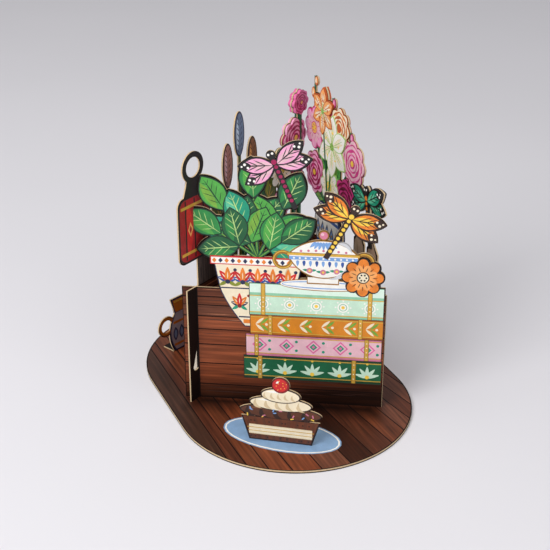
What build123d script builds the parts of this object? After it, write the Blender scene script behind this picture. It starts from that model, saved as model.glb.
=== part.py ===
from build123d import *
import os
from math import atan2, cos, degrees, hypot, radians, sin

# Free-standing greeting card: a stadium-shaped board carries a strip of card folded into a triangular
# screen, with one small standing figure before it and one behind it. Millimetres, +Z up, the origin at
# the centre of the board's underside, the board's long way along Y.

# Base board
BASE_WIDTH = 140.0
BASE_LENGTH = 197.0
BASE_THICK = 1.6

# Screen: an equilateral triangle with one corner at the left end of the X axis
CARD = 0.9
SIDE = 109.0
LEFT_CORNER_X = -49.6
WALL_HEIGHT = 74.0
TAIL = 8.0

# Halving joint where the two ends of the strip cross
SLOT_MEET = 39.0
SLOT_GAP = 0.1
FLARE_FOOT = 19.5
FLARE_TOP = 38.5
FLARE_RADIUS = 2.4

# Glue flaps along the bottom edges
FLAP_DEPTH = 9.0
FLAP_INSET = 18.0
FOOT_FLAP_WIDTH = 20.0

# Potted plant on the front panel: reaches of its sprays from the middle of the pot's rim
POT_U = 36.0
POT_RISE = 21.0
POT_RIM_WIDTH = 55.0
POT_RIM_DEPTH = 6.0
POT_WIDTH = 52.0
POT_WALL_WIDTH = 44.0
SPRAY_REACHES = [(-20.0, 14.0), (-18.0, 28.0), (-7.0, 18.0), (-2.0, 36.0), (14.0, 30.0), (13.0, 10.0)]
SPRAY_LEAF = 25.0
SPRAY_LEAF_WIDTH = 16.0
SPRAY_KNOT = 0.5
SPRAY_SPREAD = 42.0
STEM = 2.6

# Top box of the stack on the front panel: it rises past the wall and runs behind the pot
BOX_END_GAP = 0.6
BOX_RISE = 5.0

# Covered bowl on its plate on the stack, with a ring handle on each side
BOWL_U = 73.0
BOWL_WIDTH = 42.0
BOWL_DEPTH = 16.0
BOWL_FOOT_WIDTH = 19.0
BOWL_FOOT_RISE = 4.0
LID_WIDTH = 39.0
LID_RISE = 8.5
PLATE_WIDTH = 50.0
PLATE_DEPTH = 8.0
KNOB = 3.2
BOWL_HANDLE = 6.2
BOWL_HANDLE_BAND = 2.6
BOWL_HANDLE_DROP = 5.0

# Dragonflies: along the panel, above the wall, turn in degrees; other lengths as shares of the wing
DRAGONFLY_SPAN = 42.0
WING_WIDTH = 10.5
WING_TURNS = [20.0, 160.0, -12.0, 192.0]
DRAGONFLY_BODY = 3.6
DRAGONFLY_CHEST = 0.2
DRAGONFLY_TAIL = 1.25
DRAGONFLY_NECK = 0.3
DRAGONFLY_HEAD = 2.7
FRONT_DRAGONFLIES = [(46.0, 76.0, 24.0), (87.0, 46.0, -28.0)]
SIDE_DRAGONFLIES = [(84.0, 48.0, 12.0)]

# Round blossoms: along the panel, above the wall, radius; petal and heart as shares of the radius
FRONT_BLOSSOMS = [(95.5, 11.0, 12.5)]
REAR_BLOSSOMS = [(79.0, 20.0, 13.0), (95.0, 34.0, 13.0), (82.0, 47.0, 13.0),
                 (96.0, 63.0, 12.5), (101.0, 84.0, 8.0)]
SIDE_BLOSSOMS = [(16.0, 42.0, 14.0), (57.0, 38.0, 14.0), (37.0, 40.0, 12.0),
                 (65.0, 64.0, 14.0), (14.5, 70.0, 13.5), (48.0, 80.0, 12.0)]
PETALS = 8
PETAL_SHARE = 0.36
HEART_SHARE = 0.8

# Star lilies: along the panel, above the wall, radius; petal width as a share of the radius
SIDE_STARS = [(40.0, 66.0, 20.0), (27.0, 84.0, 15.0)]
STAR_PETALS = 6
STAR_PETAL_SHARE = 0.62

# Lantern on the rear panel
LANTERN_U = 0.5
LANTERN_WIDTH = 28.0
LANTERN_HEIGHT = 40.0
LANTERN_CORNER = 5.0
LANTERN_FOOT_WIDTH = 18.0
LANTERN_FOOT_RISE = 17.0
LANTERN_ROOF = 10.0
LANTERN_CAP_WIDTH = 10.0
LANTERN_RING = 9.0
LANTERN_RING_BAND = 3.2

# Reeds and broad leaves on the rear panel: along the panel, then height above the wall or turn
REEDS = [(31.0, 64.0), (42.0, 80.0), (54.0, 62.0)]
REED_HEAD = 27.0
REED_HEAD_WIDTH = 9.5
BROAD_LEAVES = [(30.0, 96.0), (38.0, 112.0), (44.0, 78.0),
                (54.0, 100.0), (60.0, 74.0), (70.0, 106.0)]
BROAD_LEAF = 56.0
BROAD_LEAF_WIDTH = 17.0

# Vase, bell spires and garden pickets on the side panel
VASE_U = 36.0
VASE_WIDTH = 36.0
VASE_FOOT_WIDTH = 24.0
VASE_NECK_WIDTH = 22.0
VASE_RISE = 27.0
SPIRES = [(14.0, 104.0), (38.0, 97.0), (61.0, 83.0)]
SPIRE_LENGTH = 34.0
SPIRE_BELL = 8.5
SPIRE_BELLS = 5
BELL_TAPER = 0.45
BELL_OFFSET = 0.35
BELL_STRETCH = 1.25
BUNCH_LEAVES = [24.0, 47.0, 68.0, 112.0, 133.0, 156.0]
BUNCH_LEAF = 36.0
BUNCH_LEAF_WIDTH = 11.0
PICKETS = [75.0, 91.0]
PICKET_WIDTH = 13.0
PICKET_RISE = 20.0
PICKET_POINT = 6.0

# Cup cake standing before the screen, placed from the board's left and front edges
CAKE_FROM_LEFT = 45.5
CAKE_FROM_FRONT = 35.0
CAKE_TURN = -36.0
CASE_TOP_WIDTH = 45.0
CASE_FOOT_WIDTH = 36.0
CASE_HEIGHT = 15.5
SWIRL_WIDTHS = [47.0, 36.0, 23.0]
SWIRL_DEPTH = 10.0
SWIRL_STEP = 5.5
BERRY = 5.2

# Jug standing behind the screen, placed from the board's left and back edges
JUG_FROM_LEFT = 33.0
JUG_FROM_BACK = 37.5
JUG_TURN = 25.0
JUG_WIDTH = 26.0
JUG_FOOT_WIDTH = 18.0
JUG_NECK_WIDTH = 16.0
JUG_HEIGHT = 38.0
JUG_NECK_SHARE = 0.72
JUG_HANDLE = 7.0
JUG_HANDLE_BAND = 2.6
JUG_LIP = 7.0

# Where vessels are widest, the screen's corner angle, and how far joined outlines run into each other
WAIST_SHARE = 0.4
CORNER_ANGLE = 60.0
BITE = 1.0


def panel_plane(x, y, turn):
    """The middle plane of a standing card: u runs along its turn, v runs up from the board."""
    along = (cos(radians(turn)), sin(radians(turn)), 0)
    facing = (sin(radians(turn)), -cos(radians(turn)), 0)
    return Plane(origin=(x, y, BASE_THICK), x_dir=along, z_dir=facing)


def disc(u, v, radius):
    """A round face."""
    return Pos(u, v) * Circle(radius)


def ring(u, v, radius, band):
    """A round band."""
    return disc(u, v, radius) - disc(u, v, radius - band)


def oval(u, v, length, width, turn=0.0):
    """An ellipse with its length along a turn."""
    return Pos(u, v) * Rot(0, 0, turn) * Ellipse(length / 2, width / 2)


def block(u_low, u_high, v_low, v_high):
    """A rectangle between two corners."""
    return Pos((u_low + u_high) / 2, (v_low + v_high) / 2) * Rectangle(u_high - u_low, v_high - v_low)


def taper(u, low_width, v_low, high_width, v_high):
    """A trapezium that stands on its lower edge."""
    corners = [(u - low_width / 2, v_low), (u + low_width / 2, v_low),
               (u + high_width / 2, v_high), (u - high_width / 2, v_high)]
    return make_face(Polyline(*corners, close=True))


def pointed(u, v, length, width, turn):
    """A pointed oval that starts at a point and runs along a turn."""
    upper = ThreePointArc((0, 0), (length / 2, width / 2), (length, 0))
    lower = ThreePointArc((length, 0), (length / 2, -width / 2), (0, 0))
    return Pos(u, v) * Rot(0, 0, turn) * make_face([upper, lower])


def stem(start, end, width=STEM):
    """A straight strip with round ends."""
    run = (end[0] - start[0], end[1] - start[1])
    middle = ((start[0] + end[0]) / 2, (start[1] + end[1]) / 2)
    turn = degrees(atan2(run[1], run[0]))
    return Pos(*middle) * Rot(0, 0, turn) * SlotCenterToCenter(hypot(*run), width)


def belly(u, v_low, low_width, width, v_high, high_width):
    """A vessel: two bulging sides between a foot and a neck."""
    waist = v_low + WAIST_SHARE * (v_high - v_low)
    right = ThreePointArc((u + low_width / 2, v_low), (u + width / 2, waist), (u + high_width / 2, v_high))
    left = ThreePointArc((u - high_width / 2, v_high), (u - width / 2, waist), (u - low_width / 2, v_low))
    top = Line(right @ 1, left @ 0)
    foot = Line(left @ 1, right @ 0)
    return make_face([right, top, left, foot])


def dome(u, v, width, rise):
    """A segment of a circle on a level chord: rise is upwards, or downwards where it is negative."""
    sweep = ThreePointArc((u - width / 2, v), (u, v + rise), (u + width / 2, v))
    return make_face([sweep, Line(sweep @ 1, sweep @ 0)])


def spray(root, reach):
    """A leafy stem: a pair of leaves at its knot and one leaf at the tip."""
    turn = degrees(atan2(reach[1], reach[0]))
    tip = (root[0] + reach[0], root[1] + reach[1])
    knot = (root[0] + reach[0] * SPRAY_KNOT, root[1] + reach[1] * SPRAY_KNOT)
    shapes = [stem(root, tip), pointed(*tip, SPRAY_LEAF, SPRAY_LEAF_WIDTH, turn)]
    for side in (-1, 1):
        shapes.append(pointed(*knot, SPRAY_LEAF, SPRAY_LEAF_WIDTH, turn + side * SPRAY_SPREAD))
    return shapes


def blossom(u, v, radius):
    """A round flower: a disc with a ring of petals."""
    petal = PETAL_SHARE * radius
    shapes = [disc(u, v, HEART_SHARE * radius)]
    for n in range(PETALS):
        angle = radians(360 * n / PETALS)
        shapes.append(disc(u + (radius - petal) * cos(angle), v + (radius - petal) * sin(angle), petal))
    return shapes


def star(u, v, radius):
    """A lily seen from the front: a ring of pointed petals."""
    turns = [90 + 360 * n / STAR_PETALS for n in range(STAR_PETALS)]
    return [pointed(u, v, radius, STAR_PETAL_SHARE * radius, turn) for turn in turns]


def dragonfly(u, v, turn):
    """Two pairs of wings on a long body, the tail hanging down."""
    reach = DRAGONFLY_SPAN / 2
    wings = [pointed(0, 0, reach, WING_WIDTH, angle) for angle in WING_TURNS]
    body = stem((0, DRAGONFLY_CHEST * reach), (0, -DRAGONFLY_TAIL * reach), DRAGONFLY_BODY)
    head = disc(0, DRAGONFLY_NECK * reach, DRAGONFLY_HEAD)
    return [Pos(u, v) * Rot(0, 0, turn) * shape for shape in wings + [body, head]]


def spire(u, top):
    """A stalk of bells that grow smaller towards the tip."""
    shapes = [stem((u, top - SPIRE_LENGTH), (u, top - SPIRE_BELL / 2))]
    for n in range(SPIRE_BELLS):
        share = n / (SPIRE_BELLS - 1)
        bell = SPIRE_BELL * (1.0 - BELL_TAPER * share)
        side = -1 if n % 2 else 1
        v = top - SPIRE_LENGTH + share * (SPIRE_LENGTH - bell)
        shapes.append(oval(u + side * BELL_OFFSET * bell, v, bell, BELL_STRETCH * bell))
    return shapes


def front_outline():
    """The front panel: wall, potted plant, top box, covered bowl, dragonflies and a corner blossom."""
    rim = WALL_HEIGHT + POT_RISE
    shapes = [block(-TAIL, SIDE, 0, WALL_HEIGHT)]
    shapes.append(taper(POT_U, POT_WALL_WIDTH, WALL_HEIGHT - BITE, POT_WIDTH, rim - BITE))
    shapes.append(block(POT_U - POT_RIM_WIDTH / 2, POT_U + POT_RIM_WIDTH / 2, rim - POT_RIM_DEPTH, rim))
    for reach in SPRAY_REACHES:
        shapes += spray((POT_U, rim - BITE), reach)
    box_end = SIDE - BOX_END_GAP
    box_top = WALL_HEIGHT + BOX_RISE
    shapes.append(block(POT_U, box_end, WALL_HEIGHT - BITE, box_top))
    bowl_foot = box_top + BOWL_FOOT_RISE
    bowl_rim = bowl_foot + BOWL_DEPTH
    foot_half = BOWL_FOOT_WIDTH / 2
    shapes.append(oval(BOWL_U, box_top, PLATE_WIDTH, PLATE_DEPTH))
    shapes.append(block(BOWL_U - foot_half, BOWL_U + foot_half, box_top - BITE, bowl_foot + BITE))
    shapes.append(dome(BOWL_U, bowl_rim, BOWL_WIDTH, -BOWL_DEPTH))
    shapes.append(dome(BOWL_U, bowl_rim - BITE / 2, LID_WIDTH, LID_RISE))
    shapes.append(disc(BOWL_U, bowl_rim + LID_RISE + KNOB - BITE, KNOB))
    handle_u = (BOWL_WIDTH + BOWL_HANDLE) / 2 - BOWL_HANDLE_BAND / 2
    handle_v = bowl_rim - BOWL_HANDLE_DROP
    for side in (-1, 1):
        shapes.append(ring(BOWL_U + side * handle_u, handle_v, BOWL_HANDLE, BOWL_HANDLE_BAND))
    for u, v, turn in FRONT_DRAGONFLIES:
        shapes += dragonfly(u, WALL_HEIGHT + v, turn)
    for u, v, radius in FRONT_BLOSSOMS:
        shapes += blossom(u, WALL_HEIGHT + v, radius)
    return Sketch() + shapes


def rear_outline():
    """The left rear panel: wall, lantern, reeds, broad leaves and round blossoms."""
    shapes = [block(-TAIL, SIDE, 0, WALL_HEIGHT)]
    foot_low = SLOT_GAP + 2 * CARD
    body_low = WALL_HEIGHT + LANTERN_FOOT_RISE
    body_high = body_low + LANTERN_HEIGHT
    ring_v = body_high + LANTERN_ROOF + LANTERN_RING - LANTERN_RING_BAND
    shapes.append(block(foot_low, foot_low + LANTERN_FOOT_WIDTH, WALL_HEIGHT - BITE, body_low + BITE))
    shapes.append(Pos(LANTERN_U, (body_low + body_high) / 2)
                  * RectangleRounded(LANTERN_WIDTH, LANTERN_HEIGHT, LANTERN_CORNER))
    shapes.append(taper(LANTERN_U, LANTERN_WIDTH - 2 * LANTERN_CORNER, body_high - BITE,
                        LANTERN_CAP_WIDTH, body_high + LANTERN_ROOF))
    shapes.append(disc(LANTERN_U, ring_v, LANTERN_RING))
    for u, v in REEDS:
        head = WALL_HEIGHT + v
        shapes.append(stem((u, WALL_HEIGHT - BITE), (u, head)))
        shapes.append(oval(u, head, REED_HEAD, REED_HEAD_WIDTH, 90))
    for u, turn in BROAD_LEAVES:
        shapes.append(pointed(u, WALL_HEIGHT - 2 * BITE, BROAD_LEAF, BROAD_LEAF_WIDTH, turn))
    for u, v, radius in REAR_BLOSSOMS:
        shapes.append(stem((u, WALL_HEIGHT - BITE), (u, WALL_HEIGHT + v)))
        shapes += blossom(u, WALL_HEIGHT + v, radius)
    return (Sketch() + shapes) - disc(LANTERN_U, ring_v, LANTERN_RING - LANTERN_RING_BAND)


def side_outline():
    """The right panel: wall, vase of flowers, pickets and a dragonfly."""
    shapes = [block(0, SIDE, 0, WALL_HEIGHT)]
    neck = WALL_HEIGHT + VASE_RISE
    shapes.append(belly(VASE_U, WALL_HEIGHT - BITE, VASE_FOOT_WIDTH, VASE_WIDTH, neck, VASE_NECK_WIDTH))
    for turn in BUNCH_LEAVES:
        shapes.append(pointed(VASE_U, neck - STEM, BUNCH_LEAF, BUNCH_LEAF_WIDTH, turn))
    for u, v, radius in SIDE_BLOSSOMS:
        shapes.append(stem((VASE_U, neck - STEM), (u, WALL_HEIGHT + v)))
        shapes += blossom(u, WALL_HEIGHT + v, radius)
    for u, v, radius in SIDE_STARS:
        shapes.append(stem((VASE_U, neck - STEM), (u, WALL_HEIGHT + v)))
        shapes += star(u, WALL_HEIGHT + v, radius)
    for u, v in SPIRES:
        shapes.append(stem((VASE_U, neck - STEM), (u, WALL_HEIGHT + v - SPIRE_LENGTH)))
        shapes += spire(u, WALL_HEIGHT + v)
    for u in PICKETS:
        top = WALL_HEIGHT + PICKET_RISE
        shapes.append(block(u - PICKET_WIDTH / 2, u + PICKET_WIDTH / 2, WALL_HEIGHT - BITE, top))
        shapes.append(taper(u, PICKET_WIDTH, top - BITE / 10, BITE, top + PICKET_POINT))
    for u, v, turn in SIDE_DRAGONFLIES:
        shapes += dragonfly(u, WALL_HEIGHT + v, turn)
    return Sketch() + shapes


def cake_outline():
    """A cup cake: pleated case, three turns of cream and a berry."""
    shapes = [taper(0, CASE_FOOT_WIDTH, 0, CASE_TOP_WIDTH, CASE_HEIGHT)]
    v = CASE_HEIGHT
    for width in SWIRL_WIDTHS:
        shapes.append(oval(0, v + SWIRL_DEPTH / 2 - BITE, width, SWIRL_DEPTH))
        v += SWIRL_STEP
    shapes.append(disc(0, v + BERRY, BERRY))
    return Sketch() + shapes


def jug_outline():
    """A jug: round body, flared neck, lip and a ring handle on its left."""
    neck = JUG_NECK_SHARE * JUG_HEIGHT
    handle_u = -JUG_WIDTH / 2 - JUG_HANDLE / 3
    shapes = [belly(0, 0, JUG_FOOT_WIDTH, JUG_WIDTH, neck, JUG_NECK_WIDTH)]
    shapes.append(taper(0, JUG_NECK_WIDTH, neck - BITE / 10, JUG_NECK_WIDTH + JUG_LIP, JUG_HEIGHT))
    shapes.append(ring(handle_u, neck - JUG_HANDLE, JUG_HANDLE, JUG_HANDLE_BAND))
    return Sketch() + shapes


def card_sheet(outline):
    """A sheet of card of the given outline, half its thickness to each side of the middle plane."""
    return extrude(outline, CARD / 2, both=True)


def glue_flap(u_low, u_high, side):
    """A flap folded at the bottom edge, lying on the board: side 1 is forwards, -1 backwards."""
    depth = side * (FLAP_DEPTH / 2)
    return Pos((u_low + u_high) / 2, CARD / 2, depth) * Box(u_high - u_low, CARD, FLAP_DEPTH)


def slot_tool(crossing_turn, v_low, v_high):
    """What a crossing sheet takes out of another at the left corner, with a running gap."""
    width = CARD + 2 * SLOT_GAP
    return Rot(0, crossing_turn, 0) * (Pos(0, (v_low + v_high) / 2) * Box(4 * TAIL, v_high - v_low, width))


def flare_tool():
    """The teardrop that opens the rear panel's slot on the side of its tail."""
    low = FLARE_FOOT + FLARE_RADIUS
    drop = make_face(Polyline((0, low), (-2 * FLARE_RADIUS, low), (0, FLARE_TOP), close=True))
    return extrude(Sketch() + [disc(-FLARE_RADIUS, low, FLARE_RADIUS), drop], CARD, both=True)


def base_board():
    """The stadium-shaped board."""
    outline = Rot(0, 0, 90) * SlotOverall(BASE_LENGTH, BASE_WIDTH)
    return extrude(outline, BASE_THICK)


def folded_screen():
    """The strip: front, side and rear panels in one piece, creased twice and crossed at the left corner."""
    arm = radians(CORNER_ANGLE / 2)
    fold_x = LEFT_CORNER_X + SIDE * cos(arm)
    fold_y = SIDE * sin(arm)
    front_plane = panel_plane(LEFT_CORNER_X, 0, -CORNER_ANGLE / 2)
    rear_plane = panel_plane(LEFT_CORNER_X, 0, CORNER_ANGLE / 2)
    side_plane = panel_plane(fold_x, fold_y, -90)
    front = card_sheet(front_outline()) - slot_tool(CORNER_ANGLE, SLOT_MEET, WALL_HEIGHT + BITE)
    front += glue_flap(FLAP_INSET, SIDE - FLAP_INSET, -1)
    rear = card_sheet(rear_outline()) - slot_tool(-CORNER_ANGLE, -BITE, SLOT_MEET) - flare_tool()
    rear += glue_flap(FLAP_INSET, SIDE - FLAP_INSET, 1)
    side = card_sheet(side_outline()) + glue_flap(FLAP_INSET, SIDE - FLAP_INSET, 1)
    crease = Cylinder(CARD / 2, WALL_HEIGHT)
    creases = [Pos(fold_x, end * fold_y, BASE_THICK + WALL_HEIGHT / 2) * crease for end in (-1, 1)]
    return front_plane * front + side_plane * side + rear_plane * rear + creases


def standing_figure(outline, x, y, turn):
    """A die-cut figure on its foot flap."""
    sheet = card_sheet(outline) + glue_flap(-FOOT_FLAP_WIDTH / 2, FOOT_FLAP_WIDTH / 2, -1)
    return panel_plane(x, y, turn) * sheet


def front_figure():
    """The cup cake in its place on the board."""
    x = CAKE_FROM_LEFT - BASE_WIDTH / 2
    y = CAKE_FROM_FRONT - BASE_LENGTH / 2
    return standing_figure(cake_outline(), x, y, CAKE_TURN)


def rear_figure():
    """The jug in its place on the board."""
    x = JUG_FROM_LEFT - BASE_WIDTH / 2
    y = BASE_LENGTH / 2 - JUG_FROM_BACK
    return standing_figure(jug_outline(), x, y, JUG_TURN)


nodes = {
    "base_board": base_board(),
    "folded_screen": folded_screen(),
    "front_figure": front_figure(),
    "rear_figure": rear_figure(),
}
os.makedirs("parts", exist_ok=True)
for name, shape in nodes.items():
    export_step(shape, f"parts/{name}.step")
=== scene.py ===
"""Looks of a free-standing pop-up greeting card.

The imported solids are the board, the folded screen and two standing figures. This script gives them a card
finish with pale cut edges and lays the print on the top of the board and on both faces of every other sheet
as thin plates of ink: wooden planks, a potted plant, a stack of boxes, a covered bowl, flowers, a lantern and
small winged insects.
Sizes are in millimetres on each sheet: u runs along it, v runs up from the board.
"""

from __future__ import annotations

import logging
import math
import random
from collections.abc import Callable, Iterable
from dataclasses import dataclass, field
from enum import Enum
from typing import Protocol

import bmesh
import bpy
from mathutils import Matrix, Vector

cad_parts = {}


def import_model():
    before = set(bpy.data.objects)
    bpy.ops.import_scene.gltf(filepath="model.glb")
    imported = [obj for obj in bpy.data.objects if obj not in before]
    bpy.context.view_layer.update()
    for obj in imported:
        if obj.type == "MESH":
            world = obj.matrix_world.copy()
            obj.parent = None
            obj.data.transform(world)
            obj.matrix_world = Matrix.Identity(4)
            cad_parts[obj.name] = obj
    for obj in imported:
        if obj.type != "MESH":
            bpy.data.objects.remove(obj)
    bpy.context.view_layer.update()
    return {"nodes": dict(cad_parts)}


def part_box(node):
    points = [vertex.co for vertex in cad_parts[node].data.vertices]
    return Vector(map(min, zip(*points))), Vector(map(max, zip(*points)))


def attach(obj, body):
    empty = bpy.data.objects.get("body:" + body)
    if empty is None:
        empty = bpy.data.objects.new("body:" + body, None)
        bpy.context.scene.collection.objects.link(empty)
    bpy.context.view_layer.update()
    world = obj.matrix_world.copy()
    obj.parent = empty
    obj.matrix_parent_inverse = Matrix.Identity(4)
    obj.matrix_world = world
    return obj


Rgb = tuple[int, int, int]
Way = tuple[float, float, float]
Spot = tuple[float, float]
Socket = bpy.types.NodeSocket
Feeds = dict[str | int, object]

LOG = logging.getLogger("greeting_card")
MM = 0.001
BODY = "root"
UP = (0.0, 0.0, 1.0)
HANDS = (-1.0, 1.0)

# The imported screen: its plank wall's height, a panel's length, the crossed corner, its tail and the card.
WALL = 74.0
SIDE = 109.0
LEFT_CORNER_X = -49.6
CORNER_TURN = 30.0
TAIL = 8.0
CARD = 0.9

# The print: the rise of each level of ink, how deep its foot is sunk in the card, and a stem's width.
LEVEL_STEP = 0.008
EMBED = 0.03
STEM = 1.7


def linear(rgb: Rgb, gain: float = 1.0) -> tuple[float, float, float, float]:
    """Turn a written 0 to 255 colour into Blender's linear colour.

    Args:
        rgb: Red, green and blue as written.
        gain: Factor on the linear values.

    Returns:
        Linear red, green, blue and an alpha of 1.
    """
    parts = [channel / 255.0 for channel in rgb]
    curve = [part / 12.92 if part <= 0.04045 else ((part + 0.055) / 1.055) ** 2.4 for part in parts]
    red, green, blue = (min(1.0, part * gain) for part in curve)
    return (red, green, blue, 1.0)


class NodeBench:
    """Makes the nodes of one material and joins them up."""

    def __init__(self, name: str) -> None:
        """Start a material with a bare principled shader and the place on the object.

        Args:
            name: The material's name.
        """
        self.material = bpy.data.materials.new(name)
        self.material.use_nodes = True
        self.tree = self.material.node_tree
        self.place = self.node("TexCoord", {}).outputs["Object"]

    def feed(self, inputs: bpy.types.NodeInputs, feeds: Feeds) -> None:
        """Join each named input to a socket, or set it to a plain value.

        Args:
            inputs: The node's inputs.
            feeds: A socket or a plain value for each input by its name or number.
        """
        for key, value in feeds.items():
            if isinstance(value, Socket):
                self.tree.links.new(value, inputs[key])
            else:
                inputs[key].default_value = value

    def node(self, kind: str, feeds: Feeds, **settings: object) -> bpy.types.Node:
        """Add a node.

        Args:
            kind: The node's class name without the ShaderNode prefix.
            feeds: A socket or a plain value for each input by its name or number.
            **settings: Properties of the node.

        Returns:
            The new node.
        """
        made = self.tree.nodes.new("ShaderNode" + kind)
        for key, value in settings.items():
            setattr(made, key, value)
        self.feed(made.inputs, feeds)
        return made

    def noise(self, vector: Socket, scale: float, detail: float) -> Socket:
        """Add a noise texture and give its factor."""
        return self.node("TexNoise", {"Vector": vector, "Scale": scale, "Detail": detail}).outputs["Fac"]

    def spread(self, value: Socket, low: float, high: float) -> Socket:
        """Stretch the band between two values to the range 0 to 1."""
        return self.node("MapRange", {"Value": value, "From Min": low, "From Max": high}).outputs["Result"]

    def along(self, way: Way) -> Socket:
        """Measure the place on the object along a direction."""
        return self.node("VectorMath", {0: self.place, 1: way}, operation="DOT_PRODUCT").outputs["Value"]

    def math(self, operation: str, first: Socket, second: Socket | float = 0.0) -> Socket:
        """Do a sum with a socket and a second socket or number."""
        return self.node("Math", {0: first, 1: second}, operation=operation).outputs["Value"]

    def mix(self, factor: Socket, first: object, second: object) -> Socket:
        """Mix two colours, each a colour or a socket, from the first at 0 to the second at 1."""
        return self.node("Mix", {0: factor, 6: first, 7: second}, data_type="RGBA").outputs[2]

    def tooth(self, vector: Socket, scale: float, strength: float) -> Socket:
        """Give the normals of the fine tooth of coated card."""
        feeds = {"Strength": strength, "Distance": 0.05 * MM, "Height": self.noise(vector, scale, 3.0)}
        return self.node("Bump", feeds).outputs["Normal"]

    def coat(self, feeds: Feeds) -> bpy.types.Material:
        """Feed the shader and give the finished material."""
        self.feed(self.tree.nodes["Principled BSDF"].inputs, feeds)
        return self.material


@dataclass(frozen=True)
class Ink:
    """A printed colour with the soft washes of a painted picture."""

    rgb: Rgb
    wash: float = 0.22
    rough: float = 0.46
    metal: float = 0.0
    wash_scale: float = 190.0
    speck_scale: float = 1300.0
    tooth_scale: float = 1900.0

    def material(self, name: str) -> bpy.types.Material:
        """Make the ink's material, or find it again.

        Args:
            name: The ink's name.

        Returns:
            The material.
        """
        known = bpy.data.materials.get("ink_" + name)
        if known:
            return known
        bench = NodeBench("ink_" + name)
        broad = bench.spread(bench.noise(bench.place, self.wash_scale, 4.0), 0.36, 0.64)
        fine = bench.spread(bench.noise(bench.place, self.speck_scale, 2.0), 0.3, 0.7)
        body = bench.mix(broad, linear(self.rgb, 1.0 - self.wash), linear(self.rgb, 1.0 + self.wash))
        speck = bench.mix(fine, linear(self.rgb, 1.0 - 0.5 * self.wash), body)
        return bench.coat({"Base Color": speck, "Roughness": self.rough, "Metallic": self.metal,
                           "Normal": bench.tooth(bench.place, self.tooth_scale, 0.12)})


class Inks(Enum):
    """Every colour that is printed on the card."""

    LEAF_DARK = Ink((10, 48, 32))
    LEAF_DEEP = Ink((22, 92, 52))
    LEAF_MID = Ink((40, 134, 64))
    LEAF_TEAL = Ink((22, 148, 114))
    LEAF_BRIGHT = Ink((78, 164, 66))
    LEAF_MINT = Ink((90, 190, 150))
    LEAF_LIME = Ink((118, 168, 58))
    LEAF_PALE = Ink((176, 210, 128))
    WHITE = Ink((244, 241, 233), 0.06)
    CREAM = Ink((240, 226, 196), 0.08)
    SHADOW_WHITE = Ink((206, 208, 212), 0.08)
    SHADOW_CREAM = Ink((214, 192, 152), 0.1)
    GOLD = Ink((222, 176, 70), 0.12, 0.34, 0.35)
    GOLD_DEEP = Ink((160, 112, 36), 0.12, 0.36, 0.3)
    RED = Ink((206, 32, 34))
    RED_DEEP = Ink((132, 18, 24))
    SKY = Ink((120, 162, 216), 0.12)
    SKY_PALE = Ink((196, 216, 238), 0.08)
    PLATE_BLUE = Ink((134, 168, 204), 0.12)
    BLUE = Ink((44, 84, 160))
    NAVY = Ink((30, 38, 78))
    ORANGE = Ink((230, 128, 36))
    ORANGE_DEEP = Ink((188, 84, 22))
    YELLOW = Ink((246, 204, 72), 0.12)
    MINT = Ink((200, 230, 206), 0.08)
    MINT_DEEP = Ink((142, 198, 164), 0.1)
    MINT_PALE = Ink((220, 241, 225), 0.06)
    AMBER = Ink((216, 132, 24), 0.14)
    AMBER_DEEP = Ink((176, 96, 14), 0.14)
    ROSE = Ink((232, 186, 196), 0.1)
    ROSE_DEEP = Ink((206, 120, 146), 0.14)
    FOREST = Ink((20, 96, 60), 0.18)
    FOREST_DEEP = Ink((10, 62, 40), 0.18)
    PINK = Ink((242, 168, 204), 0.14)
    MAGENTA = Ink((208, 54, 132))
    MAGENTA_SOFT = Ink((222, 104, 158), 0.16)
    CRIMSON = Ink((158, 20, 78))
    CRIMSON_DEEP = Ink((104, 12, 48))
    PEACH = Ink((242, 164, 92), 0.16)
    BLACK = Ink((24, 20, 22), 0.3)
    BROWN = Ink((104, 54, 30))
    BROWN_DEEP = Ink((50, 28, 20))
    CHOCOLATE = Ink((92, 50, 30))
    GRAIN_DARK = Ink((54, 28, 20))
    GRAIN_LIGHT = Ink((152, 92, 60))
    OLIVE = Ink((132, 140, 40))
    OLIVE_DEEP = Ink((86, 100, 34))
    DUSTY_ROSE = Ink((176, 118, 112))
    DUSTY_BLUE = Ink((104, 126, 160))
    LANTERN_RED = Ink((164, 22, 30))
    REED = Ink((134, 84, 54))
    # The posts' colour, written lighter as painted light against the shade that falls on them.
    POST = Ink((186, 158, 134))
    SLATE = Ink((74, 62, 58))
    DUSK = Ink((150, 140, 148), 0.12)
    # A pale colour, made light as painted light for the shaded strip seen through the slot's flare.
    TAIL_PALE = Ink((226, 214, 196), 0.08)

    def material(self) -> bpy.types.Material:
        """Give the ink's material."""
        return self.value.material(self.name.lower())


@dataclass(frozen=True)
class Shade:
    """A printed shadow that clears to both sides of a line."""

    way: Way
    middle: float
    dark: float
    clear: float

    def clearing(self, bench: NodeBench) -> Socket:
        """Measure how far a place is out of the shadow, from 0 to 1."""
        offset = bench.math("SUBTRACT", bench.along(self.way), self.middle * MM)
        return bench.spread(bench.math("ABSOLUTE", offset), self.dark * MM, self.clear * MM)


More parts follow.
